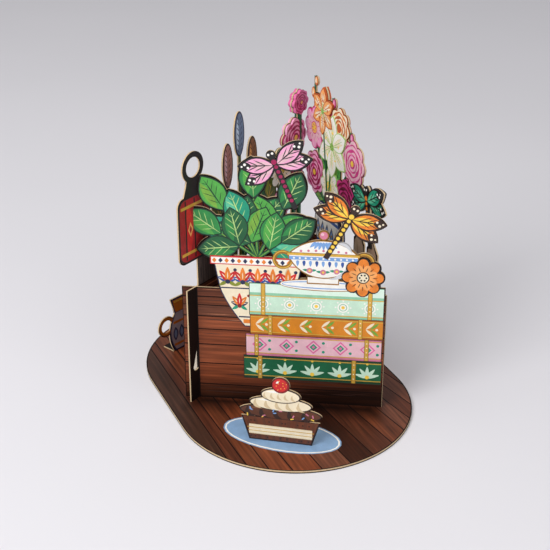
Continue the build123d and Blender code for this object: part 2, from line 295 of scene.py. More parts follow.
@dataclass(frozen=True)
class Wood:
    """A printed plank: long streaks of grain along a direction in the board's plane, with painted shade where
    its shades fall.
    """

    name: str
    rgb: Rgb
    turn: float
    shades: tuple[Shade, ...]
    streak: float = 46.0
    fibre: float = 1.7
    cloud_scale: float = 60.0

    def material(self) -> bpy.types.Material:
        """Make the plank's material, or find it again.

        Returns:
            The material.
        """
        known = bpy.data.materials.get(self.name)
        if known:
            return known
        bench = NodeBench(self.name)
        feeds = {"Vector": bench.place, "Rotation": (0.0, 0.0, math.radians(self.turn)),
                 "Scale": (self.streak * MM, self.fibre * MM, self.fibre * MM)}
        along = bench.node("Mapping", feeds, vector_type="TEXTURE").outputs["Vector"]
        streaks = bench.spread(bench.noise(along, 1.0, 5.0), 0.32, 0.68)
        cloud = bench.spread(bench.noise(bench.place, self.cloud_scale, 3.0), 0.3, 0.7)
        clean = bench.mix(streaks, linear(self.rgb, 0.34), linear(self.rgb, 1.4))
        worn = bench.mix(cloud, clean, linear(self.rgb, 0.8))
        lit = bench.mix(streaks, worn, clean)
        # deep is the plank under painted shade; clear says how far a place is out of it.
        deep = bench.mix(streaks, linear(self.rgb, 0.05), linear(self.rgb, 0.14))
        clear, *others = (shade.clearing(bench) for shade in self.shades)
        for other in others:
            clear = bench.math("MAXIMUM", clear, other)
        return bench.coat({"Base Color": bench.mix(clear, deep, lit), "Roughness": 0.45,
                           "Specular IOR Level": 0.22, "Normal": bench.tooth(along, 2.2, 0.1)})


class WoodTones(Enum):
    """The tones of the printed planks."""

    RUST = (126, 63, 36)
    UMBER = (108, 56, 33)
    WALNUT = (90, 46, 29)
    RUSSET = (136, 71, 43)
    ASH = (112, 65, 46)
    # Painted shade: a plank printed very dark for the shadow in front of the screen's right part.
    IN_SHADE = (58, 24, 12)
    # A dark plank tone, greyed as a painted sheen on the board's left side.
    GREY_SHEEN = (70, 43, 31)

    def finish(self, turn: float, *shades: Shade) -> Wood:
        """Give the tone's finish with its grain along a turn, dark where all its shades are."""
        return Wood(f"plank_{self.name.lower()}_{round(turn)}", self.value, turn, shades)


@dataclass(frozen=True)
class CutCard:
    """Card with a dark printed ground on its faces, a pale cut edge and, where it is given, a painted shade
    along the foot of that edge.
    """

    name: str
    facings: tuple[Way, ...]
    ground: Rgb
    flap: float = 0.0
    edge_foot_shade: float = 0.0
    edge: Rgb = (208, 182, 144)
    mark: str = "printed_face"
    match: float = 0.94

    def dress(self, mesh: bpy.types.Mesh) -> None:
        """Mark the printed faces by the way that they point, glue flaps too, and give the mesh its card.

        Args:
            mesh: The mesh of a packed sheet.
        """
        printed = mesh.attributes.new(self.mark, "FLOAT", "FACE")
        ways = [Vector(facing) for facing in self.facings]
        for polygon, entry in zip(mesh.polygons, printed.data):
            face = max(polygon.normal.dot(way) for way in ways)
            if polygon.center.z < self.flap * MM:
                face = max(face, polygon.normal.z)
            entry.value = 1.0 if face > self.match else 0.0
        mesh.materials.clear()
        mesh.materials.append(self.material())

    def material(self) -> bpy.types.Material:
        """Make the material: dark ground on the marked faces and as painted shade on the foot of the edge,
        pale fibre on the others.

        Returns:
            The material.
        """
        bench = NodeBench(self.name)
        printed = bench.node("Attribute", {}, attribute_name=self.mark).outputs["Fac"]
        # Painted shade: the lowest part of the cut edge takes the dark ground, as a contact shadow under the
        # board.
        if self.edge_foot_shade:
            low = bench.math("LESS_THAN", bench.along(UP), self.edge_foot_shade * MM)
            printed = bench.math("MAXIMUM", printed, low)
        fibre = bench.spread(bench.noise(bench.place, 1500.0, 3.0), 0.3, 0.7)
        edge = bench.mix(fibre, linear(self.edge, 0.82), linear(self.edge, 1.05))
        ground = bench.mix(fibre, linear(self.ground, 0.8), linear(self.ground, 1.2))
        return bench.coat({"Base Color": bench.mix(printed, edge, ground), "Roughness": 0.6,
                           "Specular IOR Level": 0.15, "Normal": bench.tooth(bench.place, 1700.0, 0.15)})


def pick(mesh: bpy.types.Mesh, test: Callable[[bmesh.types.BMVert], bool]) -> None:
    """Select the points of a mesh in edit mode that pass a test.

    Args:
        mesh: A mesh in edit mode.
        test: Says whether a point is taken.
    """
    bpy.ops.mesh.select_all(action="DESELECT")
    points = bmesh.from_edit_mesh(mesh)
    for point in points.verts:
        point.select_set(test(point))
    points.select_flush_mode()
    bmesh.update_edit_mesh(mesh)


def thicken(height: float) -> None:
    """Draw the flat plate in edit mode up to a closed body and leave edit mode.

    Args:
        height: The body's height.
    """
    bpy.ops.mesh.select_all(action="SELECT")
    bpy.ops.mesh.remove_doubles(threshold=1e-6)
    bpy.ops.mesh.extrude_region_move(TRANSFORM_OT_translate={"value": (0.0, 0.0, height)})
    bpy.ops.mesh.select_all(action="SELECT")
    bpy.ops.mesh.normals_make_consistent(inside=False)
    bpy.ops.object.mode_set(mode="OBJECT")


@dataclass(frozen=True)
class Stencil:
    """A plate one unit long, one unit wide and one unit thick, with the width of a profile along it."""

    name: str
    profile: Callable[[float], float]
    rows: int = 12
    bend: float = 0.0

    def outline(self) -> bpy.types.Object:
        """Cut the flat plate from a grid, row by row, and stay in edit mode.

        Returns:
            The plate's object.
        """
        bpy.ops.mesh.primitive_grid_add(x_subdivisions=self.rows, y_subdivisions=1, size=1.0)
        plate = bpy.context.object
        bpy.ops.object.mode_set(mode="EDIT")
        for row in range(self.rows + 1):
            start = row / self.rows - 0.5
            share = 0.5 - 0.5 * math.cos(math.pi * row / self.rows)
            sway = self.bend * 4.0 * share * (1.0 - share)
            width = max(0.0, self.profile(share))
            pick(plate.data, lambda point: point.index % (self.rows + 1) == row)
            bpy.ops.transform.resize(value=(1.0, width, 1.0), center_override=(0.0, 0.0, 0.0))
            bpy.ops.transform.translate(value=(share - start, sway, 0.0))
        return plate

    def mesh(self) -> bpy.types.Mesh:
        """Make the plate, or find it again.

        Returns:
            The plate's mesh, from x 0 to 1, centred in y, from z 0 to 1.
        """
        known = bpy.data.meshes.get("stencil_" + self.name)
        if known:
            return known
        bpy.ops.object.select_all(action="DESELECT")
        plate = self.outline()
        thicken(1.0)
        mesh = plate.data
        mesh.name = "stencil_" + self.name
        mesh.use_fake_user = True
        bpy.data.objects.remove(plate)
        return mesh


@dataclass(frozen=True)
class RingStencil(Stencil):
    """A round band whose hole is the profile's value across."""

    def outline(self) -> bpy.types.Object:
        """Inset a round face, take out its middle and stay in edit mode.

        Returns:
            The plate's object.
        """
        bpy.ops.mesh.primitive_circle_add(vertices=self.rows, radius=0.5, fill_type="NGON")
        plate = bpy.context.object
        bpy.ops.object.mode_set(mode="EDIT")
        bpy.ops.mesh.select_all(action="SELECT")
        bpy.ops.mesh.inset(thickness=0.5 - 0.5 * self.profile(0.0))
        bpy.ops.mesh.delete(type="FACE")
        bpy.ops.mesh.select_all(action="SELECT")
        bpy.ops.transform.translate(value=(0.5, 0.0, 0.0))
        return plate


def lens(share: float) -> float:
    """Width of a pointed oval between two arcs."""
    return 4.0 * share * (1.0 - share)


def circle(share: float) -> float:
    """Width of a circle."""
    return 2.0 * math.sqrt(max(0.0, share * (1.0 - share)))


def petal(share: float) -> float:
    """Width of a petal that is narrow at its root and round at its end."""
    return 1.12 * circle(share) * (0.5 + 0.5 * share)


def drop(share: float) -> float:
    """Width of a drop with its point at the end."""
    return 1.3 * circle(share) * (1.0 - 0.62 * share)


def flare(foot: float) -> Callable[[float], float]:
    """Make the profile of a straight-sided vessel from its foot's share of the width at the top."""
    return lambda share: foot + (1.0 - foot) * share


def pot(share: float) -> float:
    """Width of a pot that rounds in towards its foot."""
    return min(1.0 - 0.7 * (1.0 - share) ** 2, 0.672 + 0.328 * share)


def segment(width: float, depth: float) -> Callable[[float], float]:
    """Make the profile of a segment of a circle that rests on its round side, from its chord and height."""
    radius = (width ** 2 / 4.0 + depth ** 2) / (2.0 * depth)
    return lambda share: 2.0 * math.sqrt(share * depth * (2.0 * radius - share * depth)) / width


def belly(share: float) -> float:
    """Width of a round vessel: narrow foot, wide below the middle, narrow neck.

    Args:
        share: The place along the plate, from 0 to 1.

    Returns:
        The width's share of the greatest width.
    """
    foot, waist, neck = 0.65, 0.4, 0.6
    low = foot * (share - waist) * (share - 1.0) / waist
    middle = share * (share - 1.0) / (waist * (waist - 1.0))
    high = neck * share * (share - waist) / (1.0 - waist)
    return low + middle + high


def tin(share: float) -> float:
    """Width of a tall box with round corners.

    Args:
        share: The place along the plate, from 0 to 1.

    Returns:
        The width's share of the greatest width.
    """
    corner, bite = 0.13, 0.39
    near = min(share, 1.0 - share)
    if near >= corner:
        return 1.0
    return 1.0 - bite * (1.0 - math.sqrt(1.0 - ((corner - near) / corner) ** 2))


def picket(share: float) -> float:
    """Width of a flat post with a pointed top."""
    shoulder, taper = 0.84, 0.9
    return 1.0 if share < shoulder else 1.0 - taper * (share - shoulder) / (1.0 - shoulder)


CASE_SIDES = flare(0.8)
BOWL_WIDTH, BOWL_DEPTH = 42.0, 16.0
LID_WIDTH, LID_RISE = 39.0, 8.5


class Shapes(Enum):
    """The stencils that the picture is laid with."""

    BLOCK = Stencil("block", lambda share: 1.0, 1)
    DISC = Stencil("disc", circle, 14)
    DOT = Stencil("dot", circle, 7)
    LEAF = Stencil("leaf", lens, 12)
    STROKE = Stencil("stroke", lens, 5)
    ARC = Stencil("arc", lambda share: 0.13 * lens(share), 10, 0.2)
    CRESCENT = Stencil("crescent", lambda share: 0.3 * lens(share), 10, 0.34)
    PETAL = Stencil("petal", petal, 11)
    DROP = Stencil("drop", drop, 11)
    DIAMOND = Stencil("diamond", lambda share: 1.0 - abs(2.0 * share - 1.0), 2)
    POT = Stencil("pot", pot, 14)
    CASE = Stencil("case", CASE_SIDES, 1)
    NECK = Stencil("neck", flare(0.7), 1)
    BOWL = Stencil("bowl", segment(BOWL_WIDTH, BOWL_DEPTH), 14)
    LID = Stencil("lid", segment(LID_WIDTH, LID_RISE), 14)
    BELLY = Stencil("belly", belly, 12)
    TIN = Stencil("tin", tin, 18)
    PICKET = Stencil("picket", picket, 12)
    RING = RingStencil("ring", lambda share: 0.72, 40)
    BAND = RingStencil("band", lambda share: 0.64, 32)
    FOIL = RingStencil("foil", lambda share: 0.88, 40)


def ahead(u: float, v: float, length: float, turn: float) -> Spot:
    """Give the point at a distance from another along a turn."""
    angle = math.radians(turn)
    return (u + length * math.cos(angle), v + length * math.sin(angle))


@dataclass(frozen=True)
class Panel:
    """Where a sheet of card is: a point of its middle plane, its turn, and whether it lies flat."""

    x: float
    y: float
    z: float
    turn: float = 0.0
    flat: bool = False

    def facing(self) -> Way:
        """Give the direction that the sheet's first face looks in."""
        angle = math.radians(self.turn)
        return UP if self.flat else (math.sin(angle), -math.cos(angle), 0.0)

    def matrix(self) -> Matrix:
        """Give the matrix from the sheet's millimetres to metres in the frame.

        Returns:
            The matrix.
        """
        angle = math.radians(self.turn)
        along = (math.cos(angle), math.sin(angle), 0.0)
        upward = (-math.sin(angle), math.cos(angle), 0.0) if self.flat else UP
        axes = Matrix((along, upward, self.facing())).transposed().to_4x4()
        return Matrix.Translation(Vector((self.x, self.y, self.z)) * MM) @ axes @ Matrix.Scale(MM, 4)


@dataclass
class Footprint:
    """The rectangle that a plate of ink covers, and its height in the pile."""

    u: float
    v: float
    half_length: float
    half_width: float
    turn: float
    level: int = 0
    arms: tuple[Way, ...] = field(init=False)

    def __post_init__(self) -> None:
        """Work out the directions of the sides."""
        angle = math.radians(self.turn)
        along, across = (math.cos(angle), math.sin(angle)), (-math.sin(angle), math.cos(angle))
        self.arms = ((*along, self.half_length), (*across, self.half_width))

    def meets(self, other: Footprint) -> bool:
        """Say whether two plates cover each other anywhere.

        Args:
            other: The other plate's footprint.

        Returns:
            True where the rectangles overlap.
        """
        gap_u, gap_v = other.u - self.u, other.v - self.v
        far = self.half_length + self.half_width + other.half_length + other.half_width
        if abs(gap_u) > far or abs(gap_v) > far:
            return False
        for one, two in ((self, other), (other, self)):
            for axis_u, axis_v, half in one.arms:
                cover = half + sum(abs(axis_u * u + axis_v * v) * size for u, v, size in two.arms)
                if abs(gap_u * axis_u + gap_v * axis_v) >= cover:
                    return False
        return True


class PrintSheet:
    """Collects the plates of ink on one sheet, later ones over earlier ones, and lays them on its faces."""

    def __init__(self, panel: Panel, half: float) -> None:
        """Start with a bare sheet.

        Args:
            panel: The sheet's place.
            half: Half the sheet's thickness.
        """
        self.panel = panel
        self.half = half
        self.plates: list[bpy.types.Object] = []
        self.prints: list[Footprint] = []

    def height(self, footprint: Footprint) -> float:
        """Give a new plate its level over all that it covers.

        Args:
            footprint: What the plate covers.

        Returns:
            The plate's thickness with the part that is sunk in the card.
        """
        below = (old.level for old in self.prints if old.meets(footprint))
        footprint.level = 1 + max(below, default=0)
        self.prints.append(footprint)
        return EMBED + footprint.level * LEVEL_STEP

    def lay(self, shape: Shapes, ink: Inks | Wood, u: float, v: float, length: float, width: float,
            turn: float = 0.0) -> None:
        """Lay one plate that starts at a point and runs along a turn.

        Args:
            shape: The stencil.
            ink: Its colour.
            u: Start along the sheet.
            v: Start up the sheet.
            length: Length along the turn.
            width: Width across it.
            turn: Direction in degrees.
        """
        middle = ahead(u, v, 0.5 * length, turn)
        thick = self.height(Footprint(*middle, 0.5 * length, 0.5 * width, turn))
        mesh = shape.value.mesh().copy()
        mesh.materials.append(ink.material())
        place = Matrix.Translation((u, v, self.half - EMBED)) @ Matrix.Rotation(math.radians(turn), 4, "Z")
        mesh.transform(place @ Matrix.Diagonal((length, width, thick, 1.0)))
        plate = bpy.data.objects.new("plate", mesh)
        bpy.context.collection.objects.link(plate)
        self.plates.append(plate)

    def put(self, shape: Shapes, ink: Inks | Wood, u: float, v: float, length: float, width: float,
            turn: float = 0.0) -> None:
        """Lay one plate centred on a point, with the values that lay takes."""
        self.lay(shape, ink, *ahead(u, v, -0.5 * length, turn), length, width, turn)

    def nest(self, shape: Shapes, u: float, v: float, length: float, width: float, turn: float,
             *rings: tuple[Inks, float]) -> None:
        """Lay plates of one shape centred on a point, each smaller than the full size by its inset."""
        for ink, inset in rings:
            self.put(shape, ink, u, v, length - inset, width - inset, turn)

    def disc(self, ink: Inks, u: float, v: float, radius: float) -> None:
        """Lay a round field."""
        self.put(Shapes.DISC, ink, u, v, 2.0 * radius, 2.0 * radius)

    def dot(self, ink: Inks, u: float, v: float, radius: float) -> None:
        """Lay a small round spot."""
        self.put(Shapes.DOT, ink, u, v, 2.0 * radius, 2.0 * radius)

    def block(self, ink: Inks | Wood, low_u: float, high_u: float, low_v: float, high_v: float) -> None:
        """Lay a rectangle between two corners."""
        self.lay(Shapes.BLOCK, ink, low_u, 0.5 * (low_v + high_v), high_u - low_u, high_v - low_v)

    def band(self, ink: Inks, u: float, half: float, low_v: float, high_v: float) -> None:
        """Lay a rectangle of half a width to both sides of a line."""
        self.block(ink, u - half, u + half, low_v, high_v)

    def rise(self, shape: Shapes, ink: Inks, u: float, low_v: float, high_v: float, width: float) -> None:
        """Lay a plate that stands upright on its start."""
        self.lay(shape, ink, u, low_v, high_v - low_v, width, 90.0)

    def line(self, ink: Inks, start: Spot, end: Spot, width: float) -> None:
        """Lay a straight strip from one point to another.

        Args:
            ink: Its colour.
            start: Where it starts.
            end: Where it ends.
            width: Its width.
        """
        run = (end[0] - start[0], end[1] - start[1])
        turn = math.degrees(math.atan2(run[1], run[0]))
        self.lay(Shapes.BLOCK, ink, *start, math.hypot(*run), width, turn)

    def finish(self, name: str, slot: str, both_sides: bool = True) -> None:
        """Join the plates, set them on the sheet and copy them to its other face.

        Args:
            name: The piece's name.
            slot: The record's material slot. It is not used.
            both_sides: Whether the other face is printed too.
        """
        bpy.ops.object.select_all(action="DESELECT")
        for plate in self.plates:
            plate.select_set(True)
        bpy.context.view_layer.objects.active = self.plates[0]
        bpy.ops.object.join()
        first = bpy.context.object
        first.name = name
        pieces = [first]
        if both_sides:
            second = first.copy()
            second.data = first.data.copy()
            second.name = name + "_reverse"
            bpy.context.collection.objects.link(second)
            second.data.transform(Matrix.Diagonal((1.0, 1.0, -1.0, 1.0)))
            second.data.flip_normals()
            pieces.append(second)
        for piece in pieces:
            piece.data.transform(self.panel.matrix())
            piece.data.name = piece.name
            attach(piece, BODY)
            LOG.info("%s: %d plates, %d faces, %d levels", piece.name, len(self.plates),
                     len(piece.data.polygons), max(foot.level for foot in self.prints))


class Motif(Protocol):
    """Anything that is printed on a sheet."""

    def draw(self, sheet: PrintSheet) -> None:
        """Lay the motif's plates on a sheet."""


@dataclass
class Placed:
    """A motif that grows out of one point."""

    u: float
    v: float

    def at(self, length: float, turn: float) -> Spot:
        """Give the place at a distance from the motif's own point along a turn."""
        return ahead(self.u, self.v, length, turn)


@dataclass
class PlankWall:
    """Planks printed over the foot of a panel, wider towards the board, with painted shade at its foot."""

    start: float
    end: float
    grain: float
    seed: int
    tail: float = 0.0
    edges: tuple[float, ...] = (0.3, 9.5, 23.8, 36.6, 46.7, 55.3, 62.5, 68.0, 73.7)
    # Painted shade that darkens the planks towards the board.
    shade: Shade = Shade(UP, -8.0, 13.0, 30.0)
    tones: tuple[WoodTones, ...] = (
        WoodTones.UMBER, WoodTones.RUST, WoodTones.RUSSET, WoodTones.RUST, WoodTones.RUSSET, WoodTones.ASH,
        WoodTones.UMBER, WoodTones.WALNUT)
    seam: float = 0.7
    clear: float = 1.0
    streaks: int = 10

    def draw(self, sheet: PrintSheet) -> None:
        """Lay the planks and the streaks of their grain.

        Args:
            sheet: The sheet to print on.
        """
        chance = random.Random(self.seed)
        for row, (tone, low, high) in enumerate(zip(self.tones, self.edges, self.edges[1:])):
            foot, top = low + 0.5 * self.seam, high - 0.5 * self.seam
            wood = tone.finish(self.grain, self.shade)
            sheet.block(wood, self.start, self.end, foot, top)
            if self.tail:
                sheet.block(wood, -self.tail, -self.clear, foot, top)
            for streak in range(self.streaks):
                length = chance.uniform(12.0, 42.0)
                u = chance.uniform(self.start + 1.0, self.end - length - 1.0)
                v = chance.uniform(foot + 0.7, top - 0.7)
                ink = Inks.GRAIN_LIGHT if row > 1 and streak % 3 == 0 else Inks.GRAIN_DARK
                sheet.lay(Shapes.STROKE, ink, u, v, length, chance.uniform(0.3, 0.8))


@dataclass
class PaleTailPatch:
    """A pale strip on the front tail, seen through the slot's flare in the rear tail and made light as
    painted light against the shade inside the crossing.
    """

    start: float = -4.9
    end: float = -0.7
    low: float = 18.0
    high: float = 40.0

    def draw(self, sheet: PrintSheet) -> None:
        """Lay the strip."""
        sheet.block(Inks.TAIL_PALE, self.start, self.end, self.low, self.high)


@dataclass(frozen=True)
class LeafInks:
    """The colours of a leaf."""

    rim: Inks
    body: Inks
    light: Inks
    vein: Inks


class Greens(Enum):
    """Leaf colour sets."""

    DEEP = LeafInks(Inks.LEAF_DARK, Inks.LEAF_DEEP, Inks.LEAF_MID, Inks.LEAF_PALE)
    FRESH = LeafInks(Inks.LEAF_DARK, Inks.LEAF_BRIGHT, Inks.LEAF_LIME, Inks.LEAF_DARK)
    MIDDLE = LeafInks(Inks.LEAF_DARK, Inks.LEAF_MID, Inks.LEAF_BRIGHT, Inks.LEAF_PALE)
    TEAL = LeafInks(Inks.LEAF_DARK, Inks.LEAF_TEAL, Inks.LEAF_MINT, Inks.LEAF_PALE)
    LIME = LeafInks(Inks.LEAF_DEEP, Inks.LEAF_BRIGHT, Inks.LEAF_LIME, Inks.CREAM)
    OLIVE = LeafInks(Inks.BROWN_DEEP, Inks.OLIVE_DEEP, Inks.OLIVE, Inks.GOLD)
    DUSK = LeafInks(Inks.BROWN_DEEP, Inks.LEAF_DARK, Inks.OLIVE_DEEP, Inks.OLIVE)


@dataclass
class Leaf(Placed):
    """A pointed leaf with a midrib, side veins and one half in the light."""

    length: float
    width: float
    turn: float
    inks: LeafInks
    veins: int = 4
    rim: float = 0.9

    def draw(self, sheet: PrintSheet) -> None:
        """Lay the leaf from its rim to its veins.

        Args:
            sheet: The sheet to print on.
        """
        sheet.lay(Shapes.LEAF, self.inks.rim, self.u, self.v, self.length, self.width, self.turn)
        root = self.at(self.rim, self.turn)
        inner = self.length - 2.0 * self.rim
        sheet.lay(Shapes.LEAF, self.inks.body, *root, inner, self.width - 1.5 * self.rim, self.turn)
        side = ahead(*ahead(*root, 0.1 * inner, self.turn), 0.19 * self.width, self.turn + 90.0)
        sheet.lay(Shapes.LEAF, self.inks.light, *side, 0.8 * inner, 0.3 * self.width, self.turn)
        for vein in range(self.veins):
            share = 0.2 + 0.56 * vein / max(1, self.veins - 1)
            knot = ahead(*root, share * inner, self.turn)
            reach = 0.5 * self.width * lens(share + 0.12)
            for hand in HANDS:
                sheet.lay(Shapes.STROKE, self.inks.vein, *knot, reach, 0.42, self.turn + 40.0 * hand)
        sheet.lay(Shapes.STROKE, self.inks.vein, *root, 0.96 * inner, 0.75, self.turn)


@dataclass
class PottedPlant:
    """A leafy plant in a patterned pot."""

    u: float = 36.0
    foot: float = 50.0
    rim: float = 95.0
    pot_width: float = 52.0
    rim_width: float = 55.0
    rim_depth: float = 6.0
    reaches: tuple[Spot, ...] = (
        (-2.0, 36.0), (14.0, 30.0), (-18.0, 28.0), (-7.0, 18.0), (13.0, 10.0), (-20.0, 14.0))
    knot: float = 0.5
    leaf: float = 25.0
    leaf_width: float = 16.0
    spread: float = 42.0
    lozenges: int = 15

    def half(self, v: float, inset: float) -> float:
        """Give half the pot's width at a height, less an inset."""
        share = (v - self.foot) / (self.rim - 1.0 - self.foot)
        return 0.5 * self.pot_width * pot(share) - inset

    def hoop(self, sheet: PrintSheet, ink: Inks, v: float, depth: float) -> None:
        """Lay a level band round the pot."""
        sheet.band(ink, self.u, self.half(v - 0.5 * depth, 1.0), v - 0.5 * depth, v + 0.5 * depth)

    def fans(self, sheet: PrintSheet, v: float, count: int, size: float, inks: tuple[Inks, ...]) -> None:
        """Lay a row of fans, each of five drops over two leaves, with a spot between them.

        Args:
            sheet: The sheet to print on.
            v: The height of the fans' feet.
            count: How many stand side by side.
            size: The middle drop's length.
            inks: Middle drop, inner drops, outer drops, leaves and spots.
        """
        middle, inner, outer, leaf, spot = inks
        step = 2.0 * self.half(v, 1.6) / count
        for n in range(count):
            u = self.u + (n - 0.5 * (count - 1)) * step
            for turn, ink, share in ((18.0, outer, 0.7), (162.0, outer, 0.7), (52.0, inner, 0.9),
                                     (128.0, inner, 0.9), (90.0, middle, 1.0)):
                sheet.lay(Shapes.DROP, ink, u, v, share * size, 0.42 * size, turn)
                root = ahead(u, v, 0.1 * size, turn)
                sheet.lay(Shapes.STROKE, Inks.CREAM, *root, 0.55 * size, 0.07 * size, turn)
            for hand in HANDS:
                sheet.lay(Shapes.LEAF, leaf, u, v - 0.4, 0.7 * size, 0.26 * size, 270.0 + 58.0 * hand)
            sheet.dot(spot, u, v - 0.1 * size, 0.17 * size)
            sheet.dot(spot, u + 0.5 * step, v + 0.8 * size, 0.12 * size)

    def pot(self, sheet: PrintSheet) -> None:
        """Lay the pot: pale body, two rows of fans between bands, and its red rim.

        Args:
            sheet: The sheet to print on.
        """
        low, high = self.foot, self.rim - 1.0
        sheet.rise(Shapes.POT, Inks.NAVY, self.u, low, high, self.pot_width - 0.6)
        sheet.rise(Shapes.POT, Inks.CREAM, self.u, low + 0.6, high, self.pot_width - 1.8)
        shaded = self.u + 0.33 * self.pot_width
        sheet.rise(Shapes.LEAF, Inks.SHADOW_CREAM, shaded, low + 18.0, high - 4.0, 5.0)
        self.hoop(sheet, Inks.ORANGE, low + 3.4, 2.6)
        self.hoop(sheet, Inks.NAVY, low + 6.2, 0.9)
        row = (Inks.RED, Inks.ORANGE, Inks.NAVY, Inks.LEAF_TEAL, Inks.RED_DEEP)
        self.fans(sheet, low + 14.0, 3, 7.4, row)
        self.hoop(sheet, Inks.NAVY, low + 24.6, 0.8)
        row = (Inks.ORANGE, Inks.RED, Inks.BLUE, Inks.OLIVE, Inks.NAVY)
        self.fans(sheet, low + 29.4, 5, 8.4, row)
        half, foot = 0.5 * self.rim_width - 0.4, self.rim - self.rim_depth
        sheet.band(Inks.RED, self.u, half, foot + 0.3, self.rim - 0.3)
        sheet.band(Inks.WHITE, self.u, half - 0.6, foot + 0.9, self.rim - 1.2)
        for n in range(self.lozenges):
            u = self.u - half + 2.4 + n * (2.0 * half - 4.8) / (self.lozenges - 1)
            ink = Inks.NAVY if n % 2 else Inks.ORANGE
            sheet.put(Shapes.DIAMOND, ink, u, self.rim - 3.2, 3.2, 2.6, 90.0)

    def draw(self, sheet: PrintSheet) -> None:
        """Lay the sprays, the lowest last, and then the pot.

        Args:
            sheet: The sheet to print on.
        """
        sets = [Greens.MIDDLE, Greens.DEEP, Greens.FRESH, Greens.TEAL, Greens.DEEP]
        root = (self.u, self.rim - 1.0)
        size = (self.leaf - 0.7, self.leaf_width - 0.6)
        for order, reach in enumerate(self.reaches):
            turn = math.degrees(math.atan2(reach[1], reach[0]))
            tip = (root[0] + reach[0], root[1] + reach[1])
            sheet.line(Inks.LEAF_DEEP, root, tip, 1.8)
            sheet.line(Inks.LEAF_LIME, root, tip, 0.5)
            knot = (root[0] + reach[0] * self.knot, root[1] + reach[1] * self.knot)
            for place, hand in ((knot, -1), (knot, 1), (tip, 0)):
                inks = sets[(order + hand) % len(sets)].value
                Leaf(*place, *size, turn + hand * self.spread, inks).draw(sheet)
        self.pot(sheet)


class BoxPattern(Enum):
    """What a gift box is papered with."""

    MEDALS = "medals"
    CHEVRONS = "chevrons"
    DIAMONDS = "diamonds"
    SHELLS = "shells"


@dataclass
class GiftBox:
    """One papered box of the stack: a repeating pattern and narrow gold ribbons."""

    start: float
    end: float
    low: float
    high: float
    paper: Inks
    shade: Inks
    accent: Inks
    second: Inks
    pattern: BoxPattern
    ribbons: tuple[float, ...]
    lid: float = 0.0

    def medal(self, sheet: PrintSheet, u: float, v: float, size: float) -> None:
        """Lay rings round a spot, with a wreath of small dots.

        Args:
            sheet: The sheet to print on.
            u: The motif's middle along the sheet.
            v: The motif's middle up the sheet.
            size: The motif's scale.
        """
        for ink, radius in ((self.accent, 0.62), (self.shade, 0.46), (self.accent, 0.36), (self.second, 0.2)):
            sheet.disc(ink, u, v, radius * size)
        for n in range(8):
            sheet.dot(self.accent, *ahead(u, v, 0.84 * size, 45.0 * n), 0.1 * size)

    def chevron(self, sheet: PrintSheet, u: float, v: float, size: float) -> None:
        """Lay two arrow heads, one behind the other, and a spot.

        Args:
            sheet: The sheet to print on.
            u: The motif's middle along the sheet.
            v: The motif's middle up the sheet.
            size: The motif's scale.
        """
        for shift, ink in ((0.0, self.accent), (0.55 * size, self.second)):
            for hand in HANDS:
                root = u + shift - 0.7 * size
                sheet.lay(Shapes.LEAF, ink, root, v, 1.35 * size, 0.34 * size, 42.0 * hand)
        sheet.dot(self.accent, u + 0.6 * size, v, 0.17 * size)

    def diamond(self, sheet: PrintSheet, u: float, v: float, size: float) -> None:
        """Lay nested lozenges between two pairs of dots.

        Args:
            sheet: The sheet to print on.
            u: The motif's middle along the sheet.
            v: The motif's middle up the sheet.
            size: The motif's scale.
        """
        for ink, share in ((self.accent, 1.7), (self.paper, 1.25), (self.second, 0.85), (self.accent, 0.4)):
            sheet.put(Shapes.DIAMOND, ink, u, v, share * size, share * size)
        for hand in HANDS:
            sheet.dot(self.second, u + 1.08 * size, v + 0.55 * hand * size, 0.17 * size)

    def shell(self, sheet: PrintSheet, u: float, v: float, size: float) -> None:
        """Lay a fan of five drops with a spot at its foot and one over it.

        Args:
            sheet: The sheet to print on.
            u: The motif's middle along the sheet.
            v: The motif's middle up the sheet.
            size: The motif's scale.
        """
        for turn in (14.0, 52.0, 90.0, 128.0, 166.0):
            sheet.lay(Shapes.DROP, self.accent, u, v - 0.6 * size, 1.25 * size, 0.42 * size, turn)
        sheet.dot(self.second, u, v - 0.6 * size, 0.22 * size)
        sheet.dot(self.second, u, v + 0.95 * size, 0.13 * size)

    def draw(self, sheet: PrintSheet) -> None:
        """Lay the box from its outline to its ribbons.

        Args:
            sheet: The sheet to print on.
        """
        depth = self.high - self.lid - self.low
        left, right = self.start + 0.4, self.end - 0.4
        foot, top = self.low + 0.4, self.high - 0.3
        trims = (self.low + 0.88 * depth, self.low + 0.14 * depth)
        sheet.block(Inks.BROWN_DEEP, self.start, self.end, self.low, self.high)
        sheet.block(self.shade, left, right, foot, top)
        sheet.block(self.paper, left, right, trims[1], trims[0])
        if self.lid:
            sheet.block(Inks.MINT_PALE, left, right, self.low + depth + 0.3, self.high - 0.7)
        size = 0.36 * depth
        count = int((right - left) / (2.5 * size))
        step = (right - left) / count
        motifs = {BoxPattern.MEDALS: self.medal, BoxPattern.CHEVRONS: self.chevron,
                  BoxPattern.DIAMONDS: self.diamond, BoxPattern.SHELLS: self.shell}
        for n in range(count):
            motifs[self.pattern](sheet, left + (n + 0.5) * step, self.low + 0.52 * depth, size)
        for v in trims:
            sheet.block(Inks.GOLD, left, right, v - 0.3, v + 0.3)
        for u in self.ribbons:
            sheet.band(Inks.GOLD_DEEP, u, 1.3, foot, top)
            sheet.band(Inks.GOLD, u, 0.95, foot, top)
            for n in range(4):
                sheet.dot(Inks.CREAM, u, self.low + (0.2 + 0.2 * n) * depth, 0.4)


